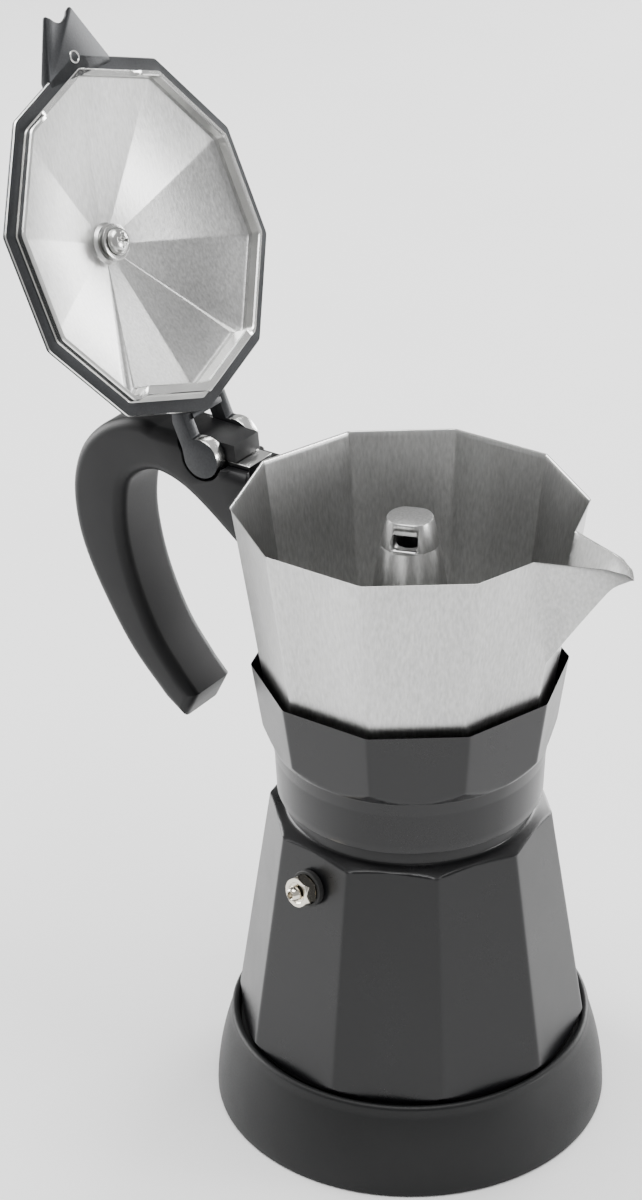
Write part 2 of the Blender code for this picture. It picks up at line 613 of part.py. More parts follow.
# ---------------------------------------------------------------- funnel, seal and filter
def hole_field(radius, hole_radius, pitch, low, high):
    """A hexagonal field of six-sided cutters that reach through a plate."""
    bm = bmesh.new()
    reach = math.floor(radius / pitch)
    for row in range(-reach, reach + 1):
        for column in range(-2 * reach, 2 * reach + 1):
            across = pitch * row * math.sin(math.pi / 3)
            place = Vector((pitch * (column + row / 2), across, (low + high) / 2))
            if place.xy.length < radius:
                bmesh.ops.create_cone(bm, cap_ends=True, segments=6, radius1=hole_radius, radius2=hole_radius,
                                      depth=high - low + 0.002, matrix=Matrix.Translation(place))
    return bm


def make_funnel():
    """Coffee funnel: flanged basket with a tube down into the water, and its sieve."""
    flange_z = NECK_TOP_Z + GAP
    basket = NECK_BORE - 2 * GAP
    cone_z = flange_z - BASKET_DEPTH
    tube_z = BOILER_FLOOR_Z + STEM_CLEARANCE
    top = flange_z + SHEET
    profile = [(NECK_RADIUS, top), (NECK_RADIUS, flange_z), (basket, flange_z), (basket, cone_z),
               (STEM_RADIUS + SHEET, cone_z - FUNNEL_CONE), (STEM_RADIUS, cone_z - FUNNEL_CONE - SHEET),
               (STEM_RADIUS, tube_z), (STEM_RADIUS - SHEET, tube_z),
               (STEM_RADIUS - SHEET, cone_z - FUNNEL_CONE),
               (basket - SHEET, cone_z + SHEET), (basket - SHEET, top)]
    add_object("funnel", turned(profile), "bare_aluminium")
    sieve_z = cone_z + 2 * SHEET
    radius = basket - SHEET - GAP
    disc = turned(disc_profile(radius, sieve_z, sieve_z + SHEET))
    sieve = add_object("funnel_sieve", disc, "bare_aluminium")
    cut(sieve, hole_field(radius - 0.004, 0.0011, 0.0062, sieve_z, sieve_z + SHEET))


def make_seal_and_filter():
    """Rubber seal ring in the collector's seat and the filter plate that it holds."""
    outer = SKIRT_BORE - 2 * GAP
    inner = outer - SEAL_WIDTH
    seal = turned(ring_profile(inner, outer, SEAL_Z, SEAL_Z + SEAL_THICKNESS))
    add_object("seal_ring", seal, "rubber")
    plate_z = SEAL_Z + SEAL_THICKNESS / 2
    radius = inner - GAP
    disc = turned(disc_profile(radius, plate_z, plate_z + SHEET))
    plate = add_object("filter_plate", disc, "bare_aluminium")
    cut(plate, hole_field(radius - 0.003, 0.0011, 0.0062, plate_z, plate_z + SHEET))


# ---------------------------------------------------------------- collector
def collector_radius(z):
    """Corner radius of the collector's frustum."""
    return RIM_RADIUS - COLLECTOR_TAPER * (RIM_Z - z)


def spout_half_width(x):
    """Half the spout's width at the rim, on the outside, at x from the axis."""
    start = RIM_RADIUS * FLAT - 0.0004
    tip = RIM_RADIUS + SPOUT_LENGTH
    share = (x - start) / (tip - start)
    return SPOUT_START_HALF_WIDTH + (SPOUT_TIP_HALF_WIDTH - SPOUT_START_HALF_WIDTH) * share


def spout_keel():
    """(x, z) of the keel: foot on the corner's edge, start of the beak, tip."""
    foot_z = RIM_Z - SPOUT_DEPTH
    tip_x = RIM_RADIUS + SPOUT_LENGTH
    return [(collector_radius(foot_z) - 0.0004, foot_z), (tip_x - SPOUT_BEAK, RIM_Z - SPOUT_BEAK_DROP),
            (tip_x, RIM_Z - SPOUT_TIP_DROP)]


def spout_solid(shrink, shorten, top):
    """V-shaped spout as a loft; shrink and shorten make the channel inside it."""
    foot, beak, tip = spout_keel()
    slope = (beak[1] - foot[1]) / (beak[0] - foot[0])
    back = (foot[0] - 0.012, foot[1] - 0.012 * slope)
    lift = shrink * math.hypot(1, slope)
    lifts = (lift, lift, shrink * 1.7, shrink * 0.7)
    sections = []
    for (x, z), rise in zip((back, foot, beak, (tip[0] - shorten, tip[1])), lifts):
        half = spout_half_width(x) - shrink * 1.12
        keel = 0.0008
        reach = (top - RIM_Z) / (RIM_Z - z) + 1
        wide = keel + (half - keel) * reach
        sections.append([(x, -wide, top), (x, -keel, z + rise), (x, keel, z + rise), (x, wide, top)])
    return lofted(sections)


def make_collector():
    """Cast collector: faceted jug with spout, hinge lug, central column and threaded skirt."""
    over = 0.004
    rings = [decagon(collector_radius(z), z) for z in (SKIRT_Z - 0.002, RIM_Z + over)]
    collector = add_object("collector", lofted(rings), "painted_aluminium")
    wide = 0.02
    flat_foot = WAIST_RADIUS * FLAT
    envelope = [(0, SKIRT_Z + 0.01), (SKIRT_RADIUS + 0.0003, SKIRT_Z + 0.01),
                (SKIRT_RADIUS + 0.0006, UNDERCUT_Z), (flat_foot - 0.0006, WAIST_Z - 0.0036),
                (flat_foot + 0.0005, WAIST_Z - 0.0021), (WAIST_RADIUS, WAIST_Z),
                (WAIST_RADIUS + wide, WAIST_Z + wide),
                (WAIST_RADIUS + wide, RIM_Z + 2 * over), (0, RIM_Z + 2 * over)]
    cut(collector, turned(envelope, 60, math.radians(3)), "INTERSECT")
    skirt_top = SKIRT_Z + 0.011
    skirt = [(0, SKIRT_Z), (SKIRT_RADIUS, SKIRT_Z), (SKIRT_RADIUS + 0.0003, skirt_top), (0, skirt_top)]
    join(collector, turned(skirt, 60, math.radians(3)))
    join(collector, spout_solid(0, 0, RIM_Z + over / 2))
    corner = -RIM_RADIUS
    low = RIM_Z - LUG_HEIGHT
    lug = [(corner - LUG_REACH, RIM_Z + over / 2), (corner - LUG_REACH, low + 0.004),
           (corner - LUG_REACH + 0.004, low), (corner + 0.009, low), (corner + 0.009, RIM_Z + over / 2)]
    join(collector, slab(lug, LUG_WIDTH / 2))
    trim_collector(collector)
    hollow_collector(collector)
    add_column(collector)
    start = RIM_Z - LUG_HEIGHT - 0.001
    cut(collector, rod((SCREW_X, 0, start), (SCREW_X, 0, RIM_Z - 0.0045), HANDLE_SCREW_RADIUS + GAP, 12))
    return collector


def trim_collector(collector):
    """Face the rim flat, and slope the top edges of the spout's beak."""
    big = 0.09
    cut(collector, block((-big, -big, RIM_Z), (big, big, RIM_Z + 0.02)))
    tip = RIM_RADIUS + SPOUT_LENGTH
    start = tip - SPOUT_TIP_CUT - 0.001
    wedge = [(start, RIM_Z), (tip + 0.01, RIM_Z - (tip + 0.01 - start) * SPOUT_TIP_SLOPE),
             (tip + 0.01, RIM_Z + 0.01), (start - 0.01, RIM_Z + 0.01), (start - 0.01, RIM_Z + 0.006)]
    cut(collector, slab(wedge, 0.02))


def hollow_collector(collector):
    """Jug cavity, spout channel, thread bore, seal seat and chamber."""
    wall = COLLECTOR_WALL / FLAT
    over = 0.006
    fillet = 0.003
    rings = [decagon(collector_radius(FLOOR_Z) - wall - fillet, FLOOR_Z),
             decagon(collector_radius(FLOOR_Z) - wall - fillet * 0.3, FLOOR_Z + fillet * 0.3),
             decagon(collector_radius(FLOOR_Z + fillet) - wall, FLOOR_Z + fillet),
             decagon(collector_radius(RIM_Z + over) - wall, RIM_Z + over)]
    cut(collector, lofted(rings))
    cut(collector, spout_solid(SPOUT_WALL, 0.0016, RIM_Z + over / 2))
    chamber_radius = SKIRT_BORE - SEAL_WIDTH - 0.001
    chamber_z = SEAT_Z + 0.0026
    bore = [(0, SKIRT_Z - 0.001), (SKIRT_BORE, SKIRT_Z - 0.001), (SKIRT_BORE, SEAT_Z),
            (chamber_radius, SEAT_Z), (COLUMN_BORE + 0.002, chamber_z), (0, chamber_z)]
    cut(collector, turned(bore))
    thread_z = COLLAR_Z + 0.0016 + THREAD_PITCH / 2
    join(collector, helix_ridge(SKIRT_BORE, SKIRT_BORE - THREAD_DEPTH, thread_z, THREAD_TURNS, False))


def lens(half_length, half_width, z):
    """Outline of the column's head: two arcs that meet at the tips."""
    arc_radius = (half_length ** 2 + half_width ** 2) / (2 * half_width)
    sweep = math.asin(half_length / arc_radius)
    points = []
    for side in (1, -1):
        for k in range(8):
            a = sweep * (2 * k / 8 - 1)
            along = side * arc_radius * math.sin(a)
            across = side * (arc_radius * math.cos(a) - (arc_radius - half_width))
            points.append(Vector((across, along, z)))
    turn = Matrix.Rotation(COLUMN_ANGLE, 3, "Z")
    return [tuple(turn @ point) for point in points]


def add_column(collector):
    """Central column: a hollow cone with a lens-shaped head and a window on each side."""
    top = RIM_Z - COLUMN_TOP_DROP
    ledge = RIM_Z - LEDGE_DROP
    base = FLOOR_Z - 0.0008
    share = (ledge - base) / (top - base)
    ledge_radius = COLUMN_BASE_RADIUS + (COLUMN_TOP_RADIUS - COLUMN_BASE_RADIUS) * share
    cone = [(0, base), (COLUMN_BASE_RADIUS, base), (COLUMN_BASE_RADIUS, FLOOR_Z + GAP),
            (ledge_radius, ledge), (0, ledge)]
    join(collector, turned(cone, 30))
    head = [lens(ledge_radius - 0.0002, ledge_radius - 0.0022, ledge - 0.001),
            lens(COLUMN_TOP_RADIUS, COLUMN_TOP_RADIUS - 0.0014, top)]
    join(collector, lofted(head))
    bore_low = SEAT_Z + 0.001
    cut(collector, turned(disc_profile(COLUMN_BORE, bore_low, top - 0.0021), 16))
    half = WINDOW_WIDTH / 2
    window = block((-0.012, -half, ledge + 0.0001), (0.012, half, ledge + WINDOW_HEIGHT))
    window.transform(Matrix.Rotation(COLUMN_ANGLE, 4, "Z"))
    cut(collector, window)


# ---------------------------------------------------------------- handle
SCREW_X = -(RIM_RADIUS + 0.0036)
HANDLE_OUTER = [(-0.0165, 0.0046), (-0.021, 0.0057), (-0.027, 0.0047), (-0.0355, 0.0004), (-0.0424, -0.0070),
                (-0.0460, -0.0165), (-0.0465, -0.0270), (-0.0440, -0.0390), (-0.0375, -0.0530),
                (-0.0280, -0.0680), (-0.0165, -0.0803)]
HANDLE_END_OUTER = (-0.0098, -0.0850)
HANDLE_END_INNER = (-0.0056, -0.0768)
HANDLE_REACH = 0.030            # past the hinge axis, into the space that the pot's side cuts off
HANDLE_INNER = [(-0.0100, -0.0722), (-0.0185, -0.0610), (-0.0250, -0.0465),
                (-0.0282, -0.0330), (-0.0285, -0.0225), (-0.0262, -0.0140), (-0.0190, -0.0092),
                (-0.0112, -0.0096), (-0.0020, -0.0142), (0.0140, -0.0265)]


def handle_outline():
    """Side view of the handle: tongue over the hinge, arch, grip, end and the arm's underside.

    It runs on into the pot, and its edges at the end are straight, so that rounding has room there.
    """
    tongue = [(HANDLE_REACH, -0.0016), (0.0090, -0.0016), (0.0084, 0.0044), (-0.006, 0.0046)]
    outer = [(p.x, p.z) for p in smooth_path([(x, 0, z) for x, z in HANDLE_OUTER], 3)]
    end = [HANDLE_END_OUTER, HANDLE_END_INNER]
    inner = [(p.x, p.z) for p in smooth_path([(x, 0, z) for x, z in HANDLE_INNER], 3)]
    (x1, z1), (x2, z2) = HANDLE_INNER[-2:]
    under = (HANDLE_REACH, z2 + (z2 - z1) * (HANDLE_REACH - x2) / (x2 - x1))
    return [(HINGE.x + x, HINGE.z + z) for x, z in tongue + outer + end + inner + [under]]


def arm_slot(side):
    """Room for one of the lid's arms beside the tongue, open to the side and above."""
    room = ARM_RADIUS + 0.0009
    lowest = [math.radians(a) for a in range(-18, -181, -18)]
    outline = [(HINGE.x + room * math.cos(a), HINGE.z + room * math.sin(a)) for a in lowest]
    outline += [(HINGE.x - 0.0083, HINGE.z + 0.0034), (HINGE.x - 0.0118, HINGE.z + 0.0130),
                (HINGE.x + 0.03, HINGE.z + 0.0130), (HINGE.x + 0.03, HINGE.z - 0.0016)]
    inner = TONGUE_WIDTH / 2
    outer = HANDLE_WIDTH / 2 + 0.003
    return slab(outline, (outer - inner) / 2, side * (inner + outer) / 2)


def soft_slab(outline, half_width, edge):
    """A slab whose outline's edges are rounded; its flat sides are split into triangles for the cuts."""
    bm = slab(outline, half_width)
    ends = [f for f in bm.faces if len(f.verts) > 4]
    rims = list({e for f in ends for e in f.edges})
    bmesh.ops.bevel(bm, geom=rims, offset=edge, offset_type="OFFSET", segments=3, profile=0.5, affect="EDGES")
    bmesh.ops.triangulate(bm, faces=[f for f in bm.faces if len(f.verts) > 4])
    return bm


def make_handle():
    """Moulded handle, fixed on the collector's lug, with the hinge's tongue on top."""
    handle = add_object("handle", soft_slab(handle_outline(), HANDLE_WIDTH / 2, HANDLE_EDGE), "black_plastic")
    for side in (1, -1):
        cut(handle, arm_slot(side))
    low, high = RIM_Z - 0.045, RIM_Z + 0.006
    rings = [decagon(collector_radius(z) + GAP / FLAT, z) for z in (low, high)]
    cut(handle, lofted(rings))
    corner = -RIM_RADIUS
    pocket_low = RIM_Z - LUG_HEIGHT - GAP
    reach = LUG_REACH + GAP
    pocket = [(corner - reach, RIM_Z + GAP), (corner - reach, pocket_low + 0.004),
              (corner - reach + 0.004, pocket_low), (corner + 0.02, pocket_low), (corner + 0.02, RIM_Z + GAP)]
    cut(handle, slab(pocket, LUG_WIDTH / 2 + GAP))
    reach_y = HANDLE_WIDTH
    cut(handle, rod((HINGE.x, -reach_y, HINGE.z), (HINGE.x, reach_y, HINGE.z), HINGE_PIN_RADIUS + GAP, 16))
    head_z = RIM_Z - LUG_HEIGHT - 0.0030
    shaft_top = RIM_Z - LUG_HEIGHT + 0.005
    cut(handle, rod((SCREW_X, 0, RIM_Z - 0.04), (SCREW_X, 0, shaft_top), HANDLE_SCREW_RADIUS + GAP, 12))
    cut(handle, rod((SCREW_X, 0, RIM_Z - 0.04), (SCREW_X, 0, head_z), 0.0037, 16))
    pan_screw("handle_screw", (SCREW_X, 0), head_z - GAP - 0.002, RIM_Z - 0.0055,
              0.0033, HANDLE_SCREW_RADIUS, 0.002)
    pin_half = ARM_OUTER - 0.0003
    pin = rod((HINGE.x, -pin_half, HINGE.z), (HINGE.x, pin_half, HINGE.z), HINGE_PIN_RADIUS, 16)
    add_object("hinge_pin", pin, "steel")


# ---------------------------------------------------------------- lid (drawn closed, hung on the open hinge)
def lid_joint():
    """Empty on the hinge's axis, turned to the open rest place."""
    joint = bpy.data.objects.new("lid_joint", None)
    bpy.context.collection.objects.link(joint)
    joint.location = HINGE
    joint.rotation_euler = (0, -LID_OPEN, 0)
    return joint


def on_lid(bm):
    """Move a mesh drawn in the closed place to the hinge's own frame."""
    bmesh.ops.translate(bm, verts=bm.verts, vec=-HINGE)
    return bm


def tab_outline():
    """Thumb tab over the spout: tapering sides, two horns and a round notch."""
    root = RIM_RADIUS - 0.006
    shoulder = RIM_RADIUS - 0.0029
    tip = RIM_RADIUS + TAB_REACH
    arc = [math.radians(a) for a in (60, 35, 0, -35, -60)]
    notch_x = tip + 0.0008
    notch = [(notch_x - TAB_NOTCH * math.cos(a), TAB_NOTCH * math.sin(a)) for a in arc]
    half = TAB_TIP_HALF_WIDTH
    upper = [(root, TAB_ROOT_HALF_WIDTH), (shoulder, TAB_ROOT_HALF_WIDTH),
             (tip - 0.0008, half + 0.0004), (tip, half)]
    lower = [(x, -y) for x, y in reversed(upper)]
    return upper + [(tip - 0.0002, half - 0.001)] + notch + [(tip - 0.0002, 0.001 - half)] + lower


def make_lid(joint):
    """Cast lid: ten-sided roof with a rim flange, lip, thumb tab and two hinge arms."""
    radius = RIM_RADIUS + LID_OVERHANG
    peak = LID_Z + LID_PEAK
    over = 0.001
    rings = [decagon(radius, LID_Z - over), decagon(radius, LID_Z + LID_EDGE),
             decagon(radius - 0.0016, LID_Z + LID_FLANGE),
             decagon(radius - 0.0034, LID_Z + LID_FLANGE + 0.0008),
             decagon(0.0088, peak + LID_ROOF)]
    lid = add_object("lid", on_lid(lofted(rings)), "painted_aluminium")
    lid.parent = joint
    tab = prism(tab_outline(), LID_Z - over / 2, LID_Z + 0.003)
    join(lid, on_lid(tab))
    bridge_x = -(radius - 0.0003)
    join(lid, on_lid(block((bridge_x, -ARM_INNER - 0.001, LID_Z - over / 3),
                           (bridge_x + 0.008, ARM_INNER + 0.001, LID_Z + LID_FLANGE + 0.0004))))
    add_arms(lid, radius)
    big = 0.12
    cut(lid, on_lid(block((-big, -big, LID_Z - 0.02), (big, big, LID_Z))))
    slope = [(RIM_RADIUS - 0.003, LID_Z + 0.0031), (RIM_RADIUS + TAB_REACH + 0.002, LID_Z + 0.0008),
             (RIM_RADIUS + TAB_REACH + 0.002, LID_Z + 0.006), (RIM_RADIUS - 0.003, LID_Z + 0.006)]
    cut(lid, on_lid(slab(slope, 0.03)))
    hollow_lid(lid, peak)
    return lid


def add_arms(lid, radius):
    """The two arms that hang the lid on its pin, with their round ends."""
    bottom, top = LID_Z + 0.0005, HINGE.z + ARM_TOP
    arc = [math.radians(a) for a in range(90, 271, 20)]
    arc += [math.radians(a) for a in (298, 326, 356)]
    end = [(HINGE.x + ARM_RADIUS * math.cos(a), HINGE.z + ARM_RADIUS * math.sin(a)) for a in arc]
    root = -(radius - 0.006)
    outline = end + [(HINGE.x + ARM_RADIUS + 0.0004, bottom), (root, bottom),
                     (root, LID_Z + LID_FLANGE + 0.0012), (-(radius - 0.001), top), (HINGE.x + 0.004, top)]
    for side in (1, -1):
        join(lid, on_lid(slab(outline, ARM_THICKNESS / 2, side * (ARM_INNER + ARM_THICKNESS / 2))))
    reach = HANDLE_WIDTH
    bore = rod((HINGE.x, -reach, HINGE.z), (HINGE.x, reach, HINGE.z), HINGE_BORE, 16)
    cut(lid, on_lid(bore))


def hollow_lid(lid, peak):
    """Pyramid recess, screw boss and locating lip."""
    lip_outer = RIM_RADIUS - COLLECTOR_WALL / FLAT - LIP_CLEARANCE
    lip_inner = lip_outer - LIP_WIDTH
    lip = lofted([decagon(lip_outer, LID_Z - LIP_HEIGHT), decagon(lip_outer, LID_Z + 0.0005)])
    join(lid, on_lid(lip))
    recess = [decagon(lip_inner, LID_Z - 2 * LIP_HEIGHT), decagon(lip_inner, LID_Z + LID_FLANGE),
              decagon(0.0012, peak)]
    cut(lid, on_lid(lofted(recess)))
    boss = [(0, peak - BOSS_END_DROP), (BOSS_RADIUS, peak - BOSS_END_DROP),
            (BOSS_RADIUS + 0.0014, peak + 0.001), (0, peak + 0.001)]
    join(lid, on_lid(turned(boss, 20, math.radians(9))))
    cut(lid, on_lid(rod((0, 0, peak - 0.006), (0, 0, peak + LID_ROOF + 0.001), 0.0022, 12)))


def make_knob(joint):
    """Knob on the lid's peak, held from inside by a screw over two washers."""
    seat = LID_Z + LID_PEAK + LID_ROOF + GAP
    waist = KNOB_RADIUS * 0.62
    profile = [(0, seat), (waist + 0.0012, seat), (waist, seat + 0.003), (waist, seat + KNOB_HEIGHT * 0.35),
               (KNOB_RADIUS, seat + KNOB_HEIGHT * 0.7), (KNOB_RADIUS, seat + KNOB_HEIGHT * 0.86),
               (KNOB_RADIUS * 0.8, seat + KNOB_HEIGHT * 0.96), (0, seat + KNOB_HEIGHT)]
    knob = add_object("lid_knob", on_lid(turned(profile, 20)), "black_plastic")
    knob.parent = joint
    depth = 0.009
    cut(knob, on_lid(rod((0, 0, seat - 0.001), (0, 0, seat + depth), 0.0022, 12)))
    boss_end = LID_Z + LID_PEAK - BOSS_END_DROP
    lock_top = boss_end - GAP
    lock_low = lock_top - 0.0009
    flat_top = lock_low - GAP
    flat_low = flat_top - 0.0006
    lock = turned(ring_profile(0.0022, 0.0041, lock_low, lock_top), 20)
    add_object("knob_lock_washer", on_lid(lock), "steel").parent = joint
    washer = turned(ring_profile(0.0022, 0.005, flat_low, flat_top), 20)
    add_object("knob_washer", on_lid(washer), "steel").parent = joint
    head = 0.0024
    screw = pan_screw("knob_screw", (0, 0), flat_low - GAP - head, seat + depth - GAP, 0.0038, 0.0019, head)
    screw.data.transform(Matrix.Translation(-HINGE))
    screw.parent = joint


# ---------------------------------------------------------------- the whole pot
def main():
    """Make every piece of the pot."""
    clear_scene()
    make_foot()
    make_foot_cover()
    make_foot_fasteners()
    coupler_top = make_coupler()
    near_end, far_end, fuse_end, plate_low = make_heater()
    make_leads(coupler_top, (near_end, far_end), fuse_end, plate_low)
    make_boiler()
    make_valve()
    make_funnel()
    make_seal_and_filter()
    make_collector()
    make_handle()
    joint = lid_joint()
    make_lid(joint)
    make_knob(joint)


main()
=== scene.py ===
"""Looks of the cordless electric moka pot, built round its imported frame.

Lengths are in metres unless a name says otherwise. +X points at the pouring spout and -X at the handle.
The lid is drawn closed and then turned to its open rest place about the hinge.
"""

import json
import math

import bmesh
import bpy
from bpy.props import FloatProperty, FloatVectorProperty, IntProperty, PointerProperty
from mathutils import Matrix, Vector


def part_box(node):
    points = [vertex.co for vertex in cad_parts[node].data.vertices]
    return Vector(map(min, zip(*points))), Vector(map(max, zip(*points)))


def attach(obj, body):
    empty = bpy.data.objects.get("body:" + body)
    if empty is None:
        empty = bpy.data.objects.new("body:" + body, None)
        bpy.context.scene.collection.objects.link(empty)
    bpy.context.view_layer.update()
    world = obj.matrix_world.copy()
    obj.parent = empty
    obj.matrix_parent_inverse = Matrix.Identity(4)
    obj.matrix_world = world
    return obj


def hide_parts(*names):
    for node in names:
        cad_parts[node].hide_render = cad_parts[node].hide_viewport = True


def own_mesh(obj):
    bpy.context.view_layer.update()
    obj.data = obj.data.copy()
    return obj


bl_info = {
    "name": "Moka pot",
    "version": (1, 0, 0),
    "blender": (4, 5, 0),
    "location": "View3D > Sidebar > Moka pot",
    "description": "Builds the detailed pieces and finishes of a cordless electric moka pot",
    "category": "Object",
}

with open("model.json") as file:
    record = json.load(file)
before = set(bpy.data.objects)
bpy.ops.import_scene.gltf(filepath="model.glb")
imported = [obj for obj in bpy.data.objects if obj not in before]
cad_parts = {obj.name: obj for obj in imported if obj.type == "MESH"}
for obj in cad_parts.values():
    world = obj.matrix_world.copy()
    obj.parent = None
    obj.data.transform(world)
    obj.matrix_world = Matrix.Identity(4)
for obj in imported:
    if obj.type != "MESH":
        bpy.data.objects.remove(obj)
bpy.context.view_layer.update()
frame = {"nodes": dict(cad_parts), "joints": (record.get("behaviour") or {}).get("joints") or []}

# ---------------------------------------------------------------- places taken from the frame
JOINTS = {joint["name"]: joint for joint in frame["joints"]}
HINGE = Vector(JOINTS["lid_hinge"]["pos_m"])
LID_OPEN = math.radians(JOINTS["lid_hinge"]["range_deg"][1])
VALVE_AXIS = Vector(JOINTS["valve_lift"]["axis"])
SKIRT_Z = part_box("collector")[0].z
RIM_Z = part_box("collector")[1].z
SPOUT_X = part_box("collector")[1].x
BOILER_BOTTOM_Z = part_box("boiler")[0].z
NECK_TOP_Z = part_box("boiler")[1].z
FOOT_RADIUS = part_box("foot")[1].x
FOOT_TOP_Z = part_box("foot")[1].z
HANDLE_HALF_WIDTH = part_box("handle")[1].y
SEAT_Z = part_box("seal_ring")[1].z
SIDES = 10
FLAT = math.cos(math.pi / SIDES)
MM = 0.001


# ---------------------------------------------------------------- sizes and colours that a user may change
class PotSizes(bpy.types.PropertyGroup):
    """Sizes of the castings' details."""

    corner_sharpness: IntProperty(name="Corner sharpness", default=260, min=40, max=900,
                                  description="How crisp the castings' upright corners are")
    wall: FloatProperty(name="Jug wall", default=2.5 * MM, min=1 * MM, max=4 * MM, unit="LENGTH",
                        description="Thickness of the collector's wall")
    rim_fillet: FloatProperty(name="Rim rounding", default=0.35 * MM, min=0.1 * MM, max=1 * MM,
                              unit="LENGTH",
                              description="Rounding of the collector's rim edges")
    handle_edge: FloatProperty(name="Handle edge", default=3.4 * MM, min=1 * MM, max=6 * MM, unit="LENGTH",
                               description="Rounding along the handle's long edges")
    sieve_pitch: FloatProperty(name="Hole spacing", default=2.3 * MM, min=1.2 * MM, max=6 * MM,
                               unit="LENGTH",
                               description="Spacing of the holes in the sieve and the filter plate")
    sieve_hole: FloatProperty(name="Hole radius", default=0.45 * MM, min=0.2 * MM, max=2 * MM, unit="LENGTH",
                              description="Radius of the holes in the sieve and the filter plate")
    thread_pitch: FloatProperty(name="Thread pitch", default=3 * MM, min=1 * MM, max=6 * MM, unit="LENGTH",
                                description="Rise of the screw thread for each turn")


def hex_colour(code):
    """Linear red, green and blue from an sRGB hex code such as '3a3b3e'."""
    parts = [int(code[k:k + 2], 16) / 255 for k in (0, 2, 4)]
    return tuple(p / 12.92 if p <= 0.04045 else ((p + 0.055) / 1.055) ** 2.4 for p in parts)


def colour(name, code, description):
    """A colour property with an sRGB hex default."""
    return FloatVectorProperty(name=name, subtype="COLOR", size=3, min=0, max=1,
                               default=hex_colour(code), description=description)


class PotColours(bpy.types.PropertyGroup):
    """Colours of the finishes."""

    paint: colour("Paint", "0c0c0e", "Satin paint on the outside of the castings")
    lid_paint: colour("Lid paint", "2b2c2e", "Metallic paint on the lid")
    casting: colour("Casting", "bdbdbc", "Bare aluminium inside the castings")
    machined: colour("Machined", "e6e6e4", "Aluminium where a cutter or a polishing wheel has faced it")
    plastic: colour("Plastic", "08080a", "Moulded handle and knob")
    foot: colour("Foot", "090a0b", "Moulded foot")
    steel: colour("Steel", "c4c4c2", "Plated steel screws and washers")
    nickel: colour("Nickel", "d8d2c6", "Nickel-plated brass of the safety valve")


# ---------------------------------------------------------------- materials
def add_node(tree, kind, links=None, **settings):
    """A new node with its settings, input values and links; keys of links are socket names or numbers."""
    node = tree.nodes.new(kind)
    for key, value in settings.items():
        setattr(node, key, value)
    for key, value in (links or {}).items():
        socket = node.inputs[key]
        if isinstance(value, bpy.types.NodeSocket):
            tree.links.new(value, socket)
        else:
            socket.default_value = value
    return node


def blank_material(name):
    """(material, tree, shader, object coordinates) to build a finish on."""
    material = bpy.data.materials.new(name)
    material.use_nodes = True
    tree = material.node_tree
    place = add_node(tree, "ShaderNodeTexCoord").outputs["Object"]
    return material, tree, tree.nodes["Principled BSDF"], place


def speckle(tree, place, size, detail=2.0, stretch=(1, 1, 1)):
    """Noise with grains of that size, stretched along the axes."""
    mapped = add_node(tree, "ShaderNodeMapping", {"Vector": place, "Scale": stretch}).outputs[0]
    noise = add_node(tree, "ShaderNodeTexNoise", {"Vector": mapped, "Scale": 1 / size, "Detail": detail,
                                                  "Roughness": 0.55})
    return noise.outputs["Fac"]


def spread(tree, value, low, high):
    """A noise value (about 0.3 to 0.7) mapped to a range."""
    node = add_node(tree, "ShaderNodeMapRange", {"Value": value, "From Min": 0.3, "From Max": 0.7,
                                                 "To Min": low, "To Max": high})
    return node.outputs["Result"]


def tinted(tree, colour_value, factor):
    """The colour multiplied by a factor that varies over the surface."""
    mix = add_node(tree, "ShaderNodeMix", {"Factor": 1.0}, data_type="RGBA", blend_type="MULTIPLY")
    mix.inputs["A"].default_value = (*colour_value, 1)
    tree.links.new(factor, mix.inputs["B"])
    return mix.outputs["Result"]


def bumped(tree, height, depth):
    """A normal from a height value, with that real depth."""
    return add_node(tree, "ShaderNodeBump", {"Height": height, "Distance": depth,
                                             "Strength": 1.0}).outputs[0]


def maths(tree, operation, *values):
    """The result of a Math node on numbers and sockets."""
    return add_node(tree, "ShaderNodeMath", dict(enumerate(values)), operation=operation).outputs[0]


def finish(name, base, roughness, metallic, grain, depth, variation=0.12, stretch=(1, 1, 1), gloss=0.5):
    """A finish with fine grain: the same grain varies colour, roughness and height a little."""
    material, tree, shader, place = blank_material(name)
    fine = speckle(tree, place, grain, 3.0, stretch)
    broad = speckle(tree, place, grain * 40, 2.0, stretch)
    grains = maths(tree, "MULTIPLY", maths(tree, "ADD", fine, broad), 0.5)
    tint = tinted(tree, base, spread(tree, grains, 1 - variation, 1 + variation))
    tree.links.new(tint, shader.inputs["Base Color"])
    tree.links.new(spread(tree, grains, roughness * 0.85, roughness * 1.15), shader.inputs["Roughness"])
    tree.links.new(bumped(tree, fine, depth), shader.inputs["Normal"])
    shader.inputs["Metallic"].default_value = metallic
    shader.inputs["Specular IOR Level"].default_value = gloss
    return material


